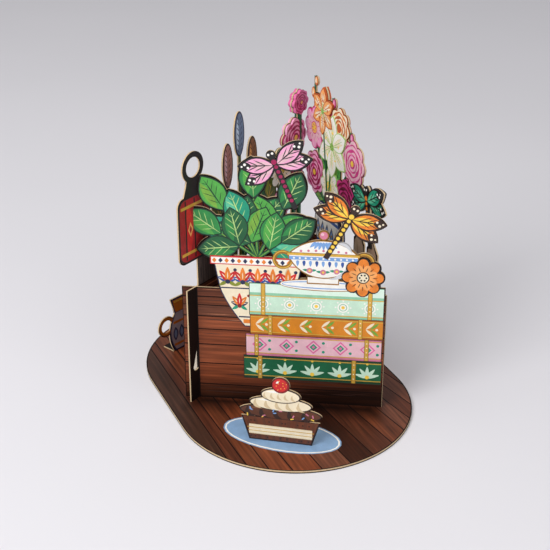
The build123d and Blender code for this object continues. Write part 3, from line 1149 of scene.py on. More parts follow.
@dataclass
class BoxStack:
    """Four gift boxes, the top one rising past the wall."""

    end: float = 108.3

    def draw(self, sheet: PrintSheet) -> None:
        """Lay the boxes from the lowest up.

        Args:
            sheet: The sheet to print on.
        """
        boxes = (
            GiftBox(27.2, self.end, 15.0, 31.0, Inks.FOREST, Inks.FOREST_DEEP, Inks.MINT, Inks.YELLOW,
                    BoxPattern.SHELLS, (37.0, 92.0)),
            GiftBox(28.6, self.end - 0.4, 30.6, 45.4, Inks.ROSE, Inks.ROSE_DEEP, Inks.MAGENTA_SOFT,
                    Inks.LEAF_TEAL, BoxPattern.DIAMONDS, (35.0, 99.0)),
            GiftBox(31.2, self.end, 45.0, 58.4, Inks.AMBER, Inks.AMBER_DEEP, Inks.CREAM, Inks.LEAF_LIME,
                    BoxPattern.CHEVRONS, (43.0, 95.0)),
            GiftBox(30.9, self.end - 0.2, 58.0, 78.7, Inks.MINT, Inks.MINT_DEEP, Inks.WHITE, Inks.YELLOW,
                    BoxPattern.MEDALS, (39.0, 100.0), 6.4))
        for box in boxes:
            box.draw(sheet)


@dataclass
class CoveredBowl:
    """A white covered bowl on its plate, with gold rims and a ring handle on each side."""

    u: float = 73.0
    foot: float = 83.0
    rim: float = 99.0
    foot_width: float = 19.0
    lid_top: float = 107.0
    knob_v: float = 109.7
    knob: float = 3.2
    handle: float = 6.2
    handle_reach: float = 22.8
    handle_v: float = 94.0
    plate_v: float = 79.0
    plate_width: float = 50.0
    plate_depth: float = 8.0

    def lid(self, sheet: PrintSheet) -> None:
        """Lay the lid, its drops and dots, and the knob.

        Args:
            sheet: The sheet to print on.
        """
        for ink, drop_by, rise_by, width_by in ((Inks.GOLD_DEEP, 0.2, 0.3, 0.6), (Inks.WHITE, 0.8, 1.2, 3.0)):
            sheet.lay(Shapes.LID, ink, self.u, self.lid_top - drop_by, LID_RISE - rise_by,
                      LID_WIDTH - width_by, -90.0)
        for n in range(-3, 4):
            u = self.u + 1.4 * n
            sheet.lay(Shapes.DROP, Inks.SKY, u, self.lid_top - 1.4, 4.8, 2.0, -90.0 + 15.0 * n)
            sheet.dot(Inks.ROSE_DEEP, self.u + 4.2 * n, self.lid_top - 6.6 - 0.06 * n * n, 0.75)
        sheet.put(Shapes.CRESCENT, Inks.SHADOW_WHITE, self.u + 11.5, self.lid_top - 4.6, 11.0, 6.0, -33.0)
        sheet.disc(Inks.GOLD_DEEP, self.u, self.knob_v, self.knob - 0.3)
        sheet.disc(Inks.ROSE_DEEP, self.u, self.knob_v, self.knob - 0.9)
        sheet.dot(Inks.ROSE, self.u - 0.7, self.knob_v + 0.7, 0.9)

    def body(self, sheet: PrintSheet) -> None:
        """Lay the plate, the foot and the bowl with its bands and buds.

        Args:
            sheet: The sheet to print on.
        """
        sheet.nest(Shapes.DISC, self.u, self.plate_v, self.plate_width, self.plate_depth, 0.0,
                   (Inks.GOLD_DEEP, 0.5), (Inks.WHITE, 1.5), (Inks.SKY, 3.2), (Inks.WHITE, 4.6))
        half = 0.5 * self.foot_width - 0.4
        sheet.band(Inks.GOLD_DEEP, self.u, half, self.foot - 3.4, self.foot + 0.8)
        sheet.band(Inks.WHITE, self.u, half - 0.5, self.foot - 2.6, self.foot + 0.8)
        sheet.rise(Shapes.BOWL, Inks.GOLD_DEEP, self.u, self.foot + 0.2, self.rim - 0.2, BOWL_WIDTH - 0.6)
        sheet.rise(Shapes.BOWL, Inks.WHITE, self.u, self.foot + 0.9, self.rim - 0.4, BOWL_WIDTH - 2.4)
        sheet.put(Shapes.CRESCENT, Inks.SHADOW_WHITE, self.u + 9.0, self.foot + 5.4, 16.0, 9.0, 222.0)
        sheet.band(Inks.GOLD, self.u, 20.2, self.rim - 1.8, self.rim - 0.4)
        sheet.band(Inks.SKY, self.u, 19.2, self.rim - 4.5, self.rim - 2.4)
        for n in range(-5, 6):
            sheet.dot(Inks.WHITE, self.u + 3.3 * n, self.rim - 3.45, 0.6)
        for n in range(-4, 5):
            ink = Inks.BLUE if n % 2 else Inks.SKY
            sheet.lay(Shapes.DROP, ink, self.u + 3.6 * n, self.rim - 4.9, 3.6, 1.8, -90.0)
        for n in range(-1, 2):
            bud = (self.u + 7.6 * n, self.foot + 4.2 + 0.8 * n * n)
            for hand in HANDS:
                sheet.lay(Shapes.LEAF, Inks.LEAF_TEAL, *bud, 4.0, 1.5, 90.0 + hand * 84.0)
            sheet.dot(Inks.ROSE_DEEP, *bud, 1.7)
            sheet.dot(Inks.YELLOW, *bud, 0.7)

    def draw(self, sheet: PrintSheet) -> None:
        """Lay the handles, the lid and the bowl.

        Args:
            sheet: The sheet to print on.
        """
        size = 2.0 * self.handle
        for hand in HANDS:
            u = self.u + hand * self.handle_reach
            sheet.put(Shapes.BAND, Inks.GOLD_DEEP, u, self.handle_v, size - 0.6, size - 0.6)
            sheet.put(Shapes.FOIL, Inks.GOLD, u, self.handle_v, size - 1.4, size - 1.4)
        self.lid(sheet)
        self.body(sheet)


@dataclass(frozen=True)
class WingInks:
    """The colours of a dragonfly."""

    rim: Inks
    wing: Inks
    glow: Inks
    spot: Inks
    body: Inks


class Wings(Enum):
    """Dragonfly colour sets."""

    PINK = WingInks(Inks.BLACK, Inks.PINK, Inks.ROSE, Inks.WHITE, Inks.CRIMSON)
    AMBER = WingInks(Inks.BROWN_DEEP, Inks.ORANGE, Inks.YELLOW, Inks.CREAM, Inks.YELLOW)
    TEAL = WingInks(Inks.BLACK, Inks.LEAF_TEAL, Inks.LEAF_MINT, Inks.WHITE, Inks.ORANGE)


@dataclass
class Dragonfly(Placed):
    """Two pairs of veined wings on a long banded body."""

    turn: float
    wings: Wings
    reach: float = 21.0
    wing_width: float = 10.5
    body_width: float = 3.6
    angles: tuple[float, ...] = (-12.0, 192.0, 20.0, 160.0)

    def wing(self, sheet: PrintSheet, turn: float) -> None:
        """Lay one wing: dark rim and tip, a glow at the root, veins and spots.

        Args:
            sheet: The sheet to print on.
            turn: The wing's direction in degrees.
        """
        inks = self.wings.value
        sheet.lay(Shapes.LEAF, inks.rim, self.u, self.v, self.reach - 0.3, self.wing_width - 0.3, turn)
        root = self.at(1.2, turn)
        sheet.lay(Shapes.LEAF, inks.wing, *root, self.reach - 3.2, self.wing_width - 2.0, turn)
        sheet.lay(Shapes.LEAF, inks.glow, *root, 0.62 * self.reach, 0.46 * self.wing_width, turn)
        for share, tilt in ((0.24, 26.0), (0.24, -26.0), (0.44, 24.0), (0.44, -24.0)):
            knot = self.at(share * self.reach, turn)
            sheet.lay(Shapes.STROKE, inks.rim, *knot, 0.36 * self.reach, 0.6, turn + tilt)
        sheet.lay(Shapes.STROKE, inks.rim, *root, 0.82 * self.reach, 0.8, turn)
        tip = self.at(0.62 * self.reach, turn)
        sheet.lay(Shapes.LEAF, inks.rim, *tip, 0.36 * self.reach, 0.46 * self.wing_width, turn)
        for share, tilt, radius in ((0.72, 4.0, 0.7), (0.8, -3.0, 0.8), (0.88, 1.0, 0.55)):
            sheet.dot(inks.spot, *self.at(share * self.reach, turn + tilt), radius)

    def draw(self, sheet: PrintSheet) -> None:
        """Lay the wings, the tail and the head.

        Args:
            sheet: The sheet to print on.
        """
        inks, up, down = self.wings.value, self.turn + 90.0, self.turn - 90.0
        for angle in self.angles:
            self.wing(sheet, self.turn + angle)
        sheet.line(inks.rim, self.at(0.2 * self.reach, up), self.at(1.3 * self.reach, down),
                   self.body_width - 0.5)
        for band in range(9):
            sheet.dot(inks.body, *self.at(-2.0 + 3.0 * band, down), 1.1 if band else 1.5)
        head = self.at(0.3 * self.reach, up)
        sheet.disc(inks.rim, *head, 0.7 * self.body_width)
        for hand in HANDS:
            sheet.dot(inks.spot, *ahead(*head, 1.3, up + 62.0 * hand), 0.7)


class BlossomStyle(Enum):
    """How a round blossom's petals lie."""

    DAISY = "daisy"
    ROSETTE = "rosette"


@dataclass(frozen=True)
class BlossomInks:
    """The colours of a flower."""

    rim: Inks
    petal: Inks
    light: Inks
    heart: Inks


class Petals(Enum):
    """Flower colour sets."""

    CORNER = BlossomInks(Inks.BLACK, Inks.ORANGE, Inks.PEACH, Inks.CREAM)
    ROSE = BlossomInks(Inks.CRIMSON, Inks.MAGENTA, Inks.PINK, Inks.YELLOW)
    DUSKY = BlossomInks(Inks.CRIMSON, Inks.MAGENTA, Inks.MAGENTA_SOFT, Inks.PEACH)
    PALE = BlossomInks(Inks.OLIVE_DEEP, Inks.WHITE, Inks.CREAM, Inks.YELLOW)
    BELLS = BlossomInks(Inks.CRIMSON, Inks.MAGENTA_SOFT, Inks.PINK, Inks.CRIMSON)
    PEACH = BlossomInks(Inks.ORANGE_DEEP, Inks.PEACH, Inks.CREAM, Inks.ORANGE_DEEP)
    PINK = BlossomInks(Inks.MAGENTA, Inks.PINK, Inks.ROSE, Inks.YELLOW)
    DARK = BlossomInks(Inks.CRIMSON_DEEP, Inks.CRIMSON, Inks.MAGENTA, Inks.PEACH)
    WHITE = BlossomInks(Inks.LEAF_PALE, Inks.WHITE, Inks.CREAM, Inks.YELLOW)


@dataclass
class Stem:
    """A straight green stem."""

    root: Spot
    end: Spot

    def draw(self, sheet: PrintSheet) -> None:
        """Lay the stem."""
        sheet.line(Inks.LEAF_DEEP, self.root, self.end, STEM)


@dataclass
class Blossom(Placed):
    """A round flower."""

    radius: float
    colours: Petals
    style: BlossomStyle = BlossomStyle.DAISY
    petals: int = 8

    def daisy(self, sheet: PrintSheet) -> None:
        """Lay two rings of petals round a dotted heart.

        Args:
            sheet: The sheet to print on.
        """
        inks, radius = self.colours.value, self.radius
        for ring, ink, length, width in ((0.0, inks.petal, 0.93, 0.56), (0.5, inks.light, 0.66, 0.38)):
            for n in range(self.petals):
                turn = 360.0 * (n + ring) / self.petals
                sheet.lay(Shapes.PETAL, ink, self.u, self.v, length * radius, width * radius, turn)
                root = self.at(0.3 * radius, turn)
                sheet.lay(Shapes.STROKE, inks.rim, *root, 0.4 * length * radius, 0.5, turn)
        sheet.disc(inks.rim, self.u, self.v, 0.29 * radius)
        sheet.disc(inks.heart, self.u, self.v, 0.24 * radius)
        for n in range(6):
            sheet.dot(inks.rim, *self.at(0.15 * radius, 60.0 * n), 0.045 * radius)

    def rosette(self, sheet: PrintSheet) -> None:
        """Lay rings of curled petals that close towards the heart.

        Args:
            sheet: The sheet to print on.
        """
        inks, radius = self.colours.value, self.radius
        for ring, (share, count) in enumerate(((0.72, 8), (0.52, 6), (0.33, 5), (0.16, 3))):
            ground = inks.rim if ring % 2 else inks.petal
            sheet.disc(ground, self.u, self.v, (share + 0.06) * radius)
            size = 1.5 * share * radius * math.sin(math.pi / count) + 0.22 * radius
            for n in range(count):
                turn = 360.0 * (n + 0.5 * ring) / count
                spot = self.at(share * radius, turn)
                sheet.put(Shapes.CRESCENT, inks.light, *spot, size, 0.8 * size, turn - 90.0)
                fold = ahead(*spot, -0.07 * radius, turn)
                sheet.put(Shapes.ARC, inks.rim, *fold, size, size, turn - 90.0)
        sheet.dot(inks.heart, self.u, self.v, 0.13 * radius)

    def draw(self, sheet: PrintSheet) -> None:
        """Lay the ground in the shape of the card and then the petals.

        Args:
            sheet: The sheet to print on.
        """
        inks, lobe = self.colours.value, 0.36 * self.radius
        spots = [self.at(self.radius - lobe, 360.0 * n / self.petals) for n in range(self.petals)]
        for spot in spots:
            sheet.dot(inks.rim, *spot, lobe - 0.3)
        sheet.disc(inks.rim, self.u, self.v, 0.8 * self.radius - 0.3)
        if self.style is BlossomStyle.DAISY:
            self.daisy(sheet)
            return
        for spot in spots:
            sheet.dot(inks.petal, *spot, lobe - 0.8)
        self.rosette(sheet)


@dataclass
class StarLily(Placed):
    """A lily seen from the front: six pointed petals and long stamens."""

    radius: float
    colours: Petals
    petals: int = 6
    stamens: int = 5

    def draw(self, sheet: PrintSheet) -> None:
        """Lay the petals, their stripes and the stamens.

        Args:
            sheet: The sheet to print on.
        """
        inks, radius, wide = self.colours.value, self.radius, 0.62 * self.radius
        for n in (*range(0, self.petals, 2), *range(1, self.petals, 2)):
            turn = 90.0 + 360.0 * n / self.petals
            sheet.lay(Shapes.LEAF, inks.rim, self.u, self.v, radius - 0.3, wide - 0.4, turn)
            root = self.at(0.9, turn)
            sheet.lay(Shapes.LEAF, inks.petal, *root, radius - 2.2, wide - 1.5, turn)
            for hand in HANDS:
                sheet.lay(Shapes.STROKE, inks.light, *root, 0.7 * radius, 0.12 * radius, turn + 8.0 * hand)
            sheet.lay(Shapes.STROKE, inks.rim, *root, 0.74 * radius, 0.6, turn)
            for share in (0.28, 0.4, 0.5):
                for hand in HANDS:
                    sheet.dot(inks.rim, *self.at(share * radius, turn + 11.0 * hand), 0.35)
        sheet.disc(Inks.LEAF_LIME, self.u, self.v, 0.12 * radius)
        for n in range(self.stamens):
            turn = 360.0 * n / self.stamens + 15.0
            sheet.lay(Shapes.STROKE, Inks.LEAF_PALE, self.u, self.v, 0.42 * radius, 0.6, turn)
            sheet.put(Shapes.DOT, inks.heart, *self.at(0.43 * radius, turn), 2.2, 1.1, turn + 70.0)


@dataclass
class BellSpire:
    """A stalk of bells that grow smaller towards the tip."""

    u: float
    top: float
    colours: Petals
    length: float = 34.0
    bell: float = 8.5
    bells: int = 5

    def draw(self, sheet: PrintSheet) -> None:
        """Lay the stalk and the bells from the foot up.

        Args:
            sheet: The sheet to print on.
        """
        inks, foot = self.colours.value, self.top - self.length
        sheet.line(Inks.LEAF_DEEP, (self.u, foot), (self.u, self.top - 2.0), 1.8)
        for n in range(self.bells):
            share = n / (self.bells - 1)
            bell = self.bell * (1.0 - 0.45 * share)
            u = self.u + (-0.35 if n % 2 else 0.35) * bell
            v = foot + share * (self.length - bell)
            sheet.nest(Shapes.DISC, u, v, bell, 1.25 * bell, 0.0, (inks.rim, 0.4), (inks.petal, 1.4))
            sheet.put(Shapes.DROP, inks.light, u - 0.1 * bell, v, 0.85 * bell, 0.36 * bell, 90.0)
            for offset in (-0.22, 0.0, 0.22):
                sheet.dot(inks.heart, u + offset * bell, v - 0.36 * bell, 0.11 * bell)


@dataclass
class Lantern:
    """A red lantern with gold bars, a roof and a carrying ring."""

    u: float = 0.5
    low: float = 91.0
    high: float = 131.0
    width: float = 28.0
    roof: float = 10.0
    ring: float = 9.0
    ring_v: float = 146.8
    foot_u: float = 10.9
    foot_width: float = 18.0

    def draw(self, sheet: PrintSheet) -> None:
        """Lay the post, the body with its bars, the roof and the ring.

        Args:
            sheet: The sheet to print on.
        """
        half = 0.5 * self.foot_width - 0.4
        sheet.band(Inks.BLACK, self.foot_u, half, WALL, self.low + 1.0)
        for plank in range(4):
            left = self.foot_u - half + 0.3 + 4.3 * plank
            sheet.block(Inks.SLATE, left, left + 3.7, WALL, self.low)
            sheet.rise(Shapes.STROKE, Inks.BLACK, left + 2.2, WALL + 1.0, self.low - 3.0, 0.7)
        peak = self.high + self.roof - 0.4
        sheet.lay(Shapes.NECK, Inks.BLACK, self.u, peak, self.roof + 1.0, self.width - 12.0, -90.0)
        for shape, ink, offset, inset, width in (
                (Shapes.TIN, Inks.BLACK, 0.0, 0.4, self.width - 0.8),
                (Shapes.TIN, Inks.LANTERN_RED, 0.0, 1.4, self.width - 2.8),
                (Shapes.LEAF, Inks.RED, -5.0, 4.0, 7.0),
                (Shapes.BLOCK, Inks.BLACK, -7.6, 2.0, 1.1),
                (Shapes.BLOCK, Inks.BLACK, 0.0, 2.0, 1.1),
                (Shapes.BLOCK, Inks.BLACK, 7.6, 2.0, 1.1)):
            sheet.rise(shape, ink, self.u + offset, self.low + inset, self.high - inset, width)
        for v in (self.low + 6.0, self.high - 6.0):
            sheet.band(Inks.GOLD, self.u, 11.6, v - 0.9, v + 0.9)
        middle = 0.5 * (self.low + self.high)
        for offset in (-3.8, 3.8):
            sheet.put(Shapes.DIAMOND, Inks.PEACH, self.u + offset, middle, 9.0, 4.4, 90.0)
            sheet.put(Shapes.DIAMOND, Inks.LANTERN_RED, self.u + offset, middle, 5.0, 2.2, 90.0)
        size = 2.0 * self.ring - 0.6
        sheet.put(Shapes.RING, Inks.BLACK, self.u, self.ring_v, size, size)


@dataclass
class Reeds:
    """Tall reeds with soft brown heads."""

    stalks: tuple[Spot, ...] = ((31.0, 138.0), (42.0, 154.0), (54.0, 136.0))
    head: float = 27.0
    head_width: float = 9.5
    strokes: int = 7

    def draw(self, sheet: PrintSheet) -> None:
        """Lay the stalks and their heads.

        Args:
            sheet: The sheet to print on.
        """
        sets = ((Inks.BROWN_DEEP, Inks.DUSTY_ROSE, Inks.ROSE), (Inks.NAVY, Inks.DUSTY_BLUE, Inks.SKY_PALE),
                (Inks.BROWN_DEEP, Inks.REED, Inks.PEACH))
        for (u, v), (rim, body, light) in zip(self.stalks, sets):
            sheet.line(Inks.OLIVE_DEEP, (u, WALL), (u, v), STEM)
            sheet.nest(Shapes.DISC, u, v, self.head, self.head_width, 90.0, (rim, 0.6), (body, 2.0))
            sheet.put(Shapes.LEAF, light, u - 1.8, v, 0.7 * self.head, 2.2, 90.0)
            for step in range(self.strokes):
                spot = v - 0.36 * self.head + 0.12 * self.head * step
                for hand in HANDS:
                    sheet.put(Shapes.STROKE, rim, u + 1.5 * hand, spot, 3.4, 0.5, 90.0 - 34.0 * hand)


@dataclass
class BroadLeaves:
    """Long leaves that fan out of one line."""

    stalks: tuple[Spot, ...]
    root: float
    length: float
    width: float
    greens: tuple[Greens, ...]

    def draw(self, sheet: PrintSheet) -> None:
        """Lay the leaves in turn.

        Args:
            sheet: The sheet to print on.
        """
        for order, (u, turn) in enumerate(self.stalks):
            inks = self.greens[order % len(self.greens)].value
            Leaf(u, self.root, self.length - 0.8, self.width - 0.6, turn, inks, 6).draw(sheet)


@dataclass
class Vase:
    """A round vase with a patterned belly."""

    u: float = 36.0
    low: float = 70.0
    neck: float = 101.0
    width: float = 36.0

    def draw(self, sheet: PrintSheet) -> None:
        """Lay the body, its bands and its ornament.

        Args:
            sheet: The sheet to print on.
        """
        sheet.rise(Shapes.BELLY, Inks.NAVY, self.u, self.low, self.neck - 0.4, self.width - 1.2)
        sheet.rise(Shapes.BELLY, Inks.WHITE, self.u, self.low + 1.0, self.neck - 1.0, self.width - 3.0)
        for v, half, ink in ((self.low + 4.2, 13.4, Inks.BLUE), (self.low + 22.4, 15.0, Inks.BLUE),
                             (self.neck - 2.6, 10.0, Inks.NAVY)):
            sheet.band(ink, self.u, half, v - 1.1, v + 1.1)
        for step in range(-2, 3):
            u, v = self.u + 6.2 * step, self.low + 13.2
            sheet.put(Shapes.DIAMOND, Inks.NAVY, u, v, 11.5, 5.8, 90.0)
            sheet.put(Shapes.DIAMOND, Inks.SKY, u, v, 7.6, 3.6, 90.0)
            sheet.dot(Inks.GOLD, u, v, 0.9)
        sheet.rise(Shapes.LEAF, Inks.SHADOW_WHITE, self.u + 13.4, self.low + 6.0, self.neck - 9.0, 3.2)


@dataclass
class Pickets:
    """Grey garden pickets."""

    places: tuple[float, ...] = (75.0, 91.0)
    width: float = 13.0
    low: float = 56.0
    high: float = 99.6

    def draw(self, sheet: PrintSheet) -> None:
        """Lay the posts with their grain and the rail across them.

        Args:
            sheet: The sheet to print on.
        """
        low, high = self.low, self.high
        for u in self.places:
            sheet.rise(Shapes.PICKET, Inks.BROWN_DEEP, u, low, high, self.width - 0.6)
            sheet.rise(Shapes.PICKET, Inks.POST, u, low + 0.6, high - 0.9, self.width - 2.0)
            for offset, foot, top in ((-3.6, 3.0, 30.0), (-1.2, 10.0, 38.0), (1.6, 2.0, 26.0),
                                      (3.9, 12.0, 34.0)):
                sheet.rise(Shapes.STROKE, Inks.BROWN, u + offset, low + foot, low + top, 0.6)
            sheet.rise(Shapes.STROKE, Inks.SHADOW_WHITE, u - 4.6, low + 4.0, high - 8.0, 0.8)
        for ink, reach, inset in ((Inks.BROWN_DEEP, 6.3, 8.0), (Inks.POST, 5.9, 8.5)):
            sheet.block(ink, self.places[0] - reach, self.places[-1] + reach, low + inset, low + 22.0 - inset)


@dataclass
class CupCake:
    """A cup cake: pleated case, three turns of cream and a berry."""

    top_width: float = 45.0
    height: float = 15.5
    swirls: tuple[float, ...] = (47.0, 36.0, 23.0)
    depth: float = 10.0
    step: float = 5.5
    berry: float = 5.2
    pleats: int = 9

    def case(self, sheet: PrintSheet) -> None:
        """Lay the pleated case with its broad cream band.

        Args:
            sheet: The sheet to print on.
        """
        sheet.rise(Shapes.CASE, Inks.BROWN_DEEP, 0.0, 0.3, self.height - 0.2, self.top_width - 0.8)
        sheet.rise(Shapes.CASE, Inks.BROWN, 0.0, 0.9, self.height - 0.4, self.top_width - 2.2)
        for n in range(self.pleats):
            share = (n + 0.5) / self.pleats - 0.5
            foot = (share * 0.78 * self.top_width, 0.9)
            top = (share * 0.97 * self.top_width, self.height - 0.8)
            sheet.line(Inks.CHOCOLATE, foot, top, 1.8)
        for ink, v, depth in ((Inks.SHADOW_CREAM, 7.0, 6.4), (Inks.CREAM, 7.0, 5.6), (Inks.GOLD, 5.9, 0.4),
                              (Inks.GOLD, 8.1, 0.4)):
            half = 0.5 * (self.top_width - 2.6) * CASE_SIDES((v - 0.5 * depth) / self.height)
            sheet.band(ink, 0.0, half, v - 0.5 * depth, v + 0.5 * depth)
        for n in range(16):
            sheet.dot(Inks.BROWN_DEEP, 17.0 * math.sin(2.3 * n), 12.6 if n % 2 else 2.2, 0.5)

    def swirl(self, sheet: PrintSheet) -> None:
        """Lay the turns of cream from the lowest up, and the crumbs of sugar on the lowest.

        Args:
            sheet: The sheet to print on.
        """
        v = self.height + 0.5 * self.depth - 1.0
        for turn, width in enumerate(self.swirls):
            body, dark, light = (Inks.CREAM, Inks.SHADOW_CREAM, Inks.WHITE)
            if turn == 0:
                body, dark, light = (Inks.CHOCOLATE, Inks.BROWN_DEEP, Inks.REED)
            sheet.nest(Shapes.DISC, 0.0, v, width, self.depth, 0.0, (Inks.BROWN_DEEP, 0.6), (body, 1.8))
            for n in range(-2, 3):
                sheet.put(Shapes.CRESCENT, dark, n * 0.17 * width, v - 0.6, 0.2 * width, 0.2 * width, 118.0)
            sheet.put(Shapes.LEAF, light, -0.12 * width, v + 2.3, 0.5 * width, 1.4, 4.0)
            v += self.step
        sugars = (Inks.ROSE_DEEP, Inks.SKY, Inks.YELLOW)
        for n in range(14):
            spot = (19.0 * math.sin(2.4 * n), 18.2 + 2.4 * math.cos(1.9 * n))
            sheet.put(Shapes.BLOCK, sugars[n % 3], *spot, 1.9, 0.7, 47.0 * n)

    def draw(self, sheet: PrintSheet) -> None:
        """Lay the cream, the case and the berry.

        Args:
            sheet: The sheet to print on.
        """
        self.swirl(sheet)
        self.case(sheet)
        v = self.height + len(self.swirls) * self.step + self.berry
        sheet.disc(Inks.RED_DEEP, 0.0, v, self.berry - 0.3)
        sheet.disc(Inks.RED, -0.3, v + 0.2, self.berry - 1.1)
        sheet.put(Shapes.DOT, Inks.WHITE, -1.8, v + 1.9, 1.9, 1.1, 40.0)
        for n in range(9):
            sheet.dot(Inks.YELLOW, *ahead(0.0, v, 1.4 + 0.26 * n, 137.5 * n), 0.28)


@dataclass
class Jug:
    """A round jug with a ring handle."""

    width: float = 26.0
    height: float = 38.0
    neck: float = 27.36
    lip_width: float = 23.0
    handle: float = 7.0
    handle_u: float = -15.33
    handle_v: float = 20.36

    def draw(self, sheet: PrintSheet) -> None:
        """Lay the handle, the neck and the patterned body.

        Args:
            sheet: The sheet to print on.
        """
        size = 2.0 * self.handle
        for ink, shift_u, shift_v, inset in ((Inks.BROWN, 0.0, 0.0, 0.6), (Inks.AMBER_DEEP, -0.1, 0.3, 1.7)):
            spot = (self.handle_u + shift_u, self.handle_v + shift_v)
            sheet.put(Shapes.RING, ink, *spot, size - inset, size - inset)
        for shape, ink, low, high, width in (
                (Shapes.NECK, Inks.NAVY, self.neck - 3.0, self.height - 0.4, self.lip_width - 1.4),
                (Shapes.NECK, Inks.AMBER_DEEP, self.neck - 2.0, self.height - 1.4, self.lip_width - 3.6),
                (Shapes.BELLY, Inks.NAVY, 0.4, self.neck + 0.4, self.width - 1.0),
                (Shapes.BELLY, Inks.DUSK, 1.2, self.neck, self.width - 2.8)):
            sheet.rise(shape, ink, 0.0, low, high, width)
        for v, half in ((4.6, 9.0), (20.6, 9.6)):
            sheet.band(Inks.AMBER_DEEP, 0.0, half, v - 0.9, v + 0.9)
        for u in (-7.8, -2.6, 2.6, 7.8):
            sheet.put(Shapes.LEAF, Inks.NAVY, u, 12.4, 10.0, 4.4, 90.0)
            sheet.put(Shapes.LEAF, Inks.DUSTY_BLUE, u, 12.4, 6.6, 2.4, 90.0)
        sheet.band(Inks.GOLD, 0.0, 8.6, self.height - 3.4, self.height - 2.0)


@dataclass
class PlankFloor:
    """Planks printed along the board, cut from its outline by slightly fanned lines."""

    half_width: float
    half_length: float
    inset: float = 0.7
    seam: float = 0.75
    level_y: float = -50.0
    shadow: float = 14.0
    lines: tuple[Spot, ...] = (
        (-58.4, 0.0), (-51.2, 1.0), (-41.6, 1.0), (-31.0, 2.0), (-16.5, 2.7), (-0.6, 3.7), (13.4, 4.9),
        (28.0, 6.4), (41.1, 7.0), (50.5, 9.0), (60.5, 10.0), (71.0, 11.0), (82.0, 12.0))
    # The first plank's tone carries a painted sheen, and the seventh a painted shade in front of the screen.
    tones: tuple[WoodTones, ...] = (
        WoodTones.GREY_SHEEN, WoodTones.WALNUT, WoodTones.UMBER, WoodTones.RUST, WoodTones.RUST, WoodTones.ASH,
        WoodTones.IN_SHADE, WoodTones.WALNUT, WoodTones.UMBER, WoodTones.ASH, WoodTones.WALNUT, WoodTones.ASH,
        WoodTones.UMBER, WoodTones.WALNUT)
    points: int = 98

    def cut(self, at: float, lean: float, hand: float) -> None:
        """Cut the plate in edit mode along a gap and keep one side.

        Args:
            at: Where the gap crosses the level line.
            lean: The gap's lean from the board's length, in degrees.
            hand: 1 keeps the right side, -1 the left.
        """
        angle = math.radians(lean)
        normal = (hand * math.cos(angle), hand * math.sin(angle), 0.0)
        edge = (at + 0.5 * hand * self.seam, self.level_y, 0.0)
        bpy.ops.mesh.select_all(action="SELECT")
        bpy.ops.mesh.bisect(plane_co=edge, plane_no=normal, clear_inner=True)

    def plank(self, left: Spot | None, right: Spot | None, thick: float) -> bpy.types.Object:
        """Make one plank between two gaps.

        Args:
            left: The gap on its left, or None at the board's edge.
            right: The gap on its right, or None at the board's edge.
            thick: The plate's thickness.

        Returns:
            The plank's plate, its foot at height 0.
        """
        radius = self.half_width - self.inset
        straight = self.half_length - self.half_width
        bpy.ops.object.select_all(action="DESELECT")
        bpy.ops.mesh.primitive_circle_add(vertices=self.points, radius=radius, fill_type="NGON")
        plate = bpy.context.object
        bpy.ops.object.mode_set(mode="EDIT")
        for hand in HANDS:
            pick(plate.data, lambda point: hand * point.co.y > 0.0)
            bpy.ops.transform.translate(value=(0.0, hand * straight, 0.0))
        for gap, hand in ((left, 1.0), (right, -1.0)):
            if gap:
                self.cut(*gap, hand)
        thicken(thick)
        return plate

    def draw(self, sheet: PrintSheet) -> None:
        """Lay the planks side by side.

        Args:
            sheet: The sheet to print on.
        """
        angle = math.radians(-CORNER_TURN)
        along, across = (math.cos(angle), math.sin(angle), 0.0), (math.sin(angle), -math.cos(angle), 0.0)
        # Painted shadow on the board along the front wall's foot, fading out past both ends of the wall.
        shades = (Shade(across, LEFT_CORNER_X * across[0] + 0.3 * self.shadow, 0.0, self.shadow),
                  Shade(along, LEFT_CORNER_X * along[0] + 0.48 * SIDE, 0.45 * SIDE, 0.57 * SIDE))
        thick = sheet.height(Footprint(0.0, 0.0, self.half_length, self.half_length, 0.0))
        edges = [None, *self.lines, None]
        for tone, left, right in zip(self.tones, edges, edges[1:]):
            plate = self.plank(left, right, thick)
            plate.data.transform(Matrix.Translation((0.0, 0.0, sheet.half - EMBED)))
            plate.data.materials.append(tone.finish(90.0, *shades).material())
            sheet.plates.append(plate)


@dataclass
class ServingMat:
    """A blue oval with a pale ring on the board."""

    x: float = -21.0
    y: float = -57.5
    length: float = 70.0
    width: float = 33.0
    turn: float = -42.0

    def draw(self, sheet: PrintSheet) -> None:
        """Lay the ovals from the largest."""
        sheet.nest(Shapes.DISC, self.x, self.y, self.length, self.width, self.turn,
                   (Inks.PLATE_BLUE, 0.0), (Inks.WHITE, 1.6), (Inks.PLATE_BLUE, 3.6))


class Places(Enum):
    """The printed sheets of the card."""

    BOARD = "board"
    FRONT = "front panel"
    REAR = "left rear panel"
    SIDE = "right panel"
    CAKE = "front figure"
    JUG = "rear figure"


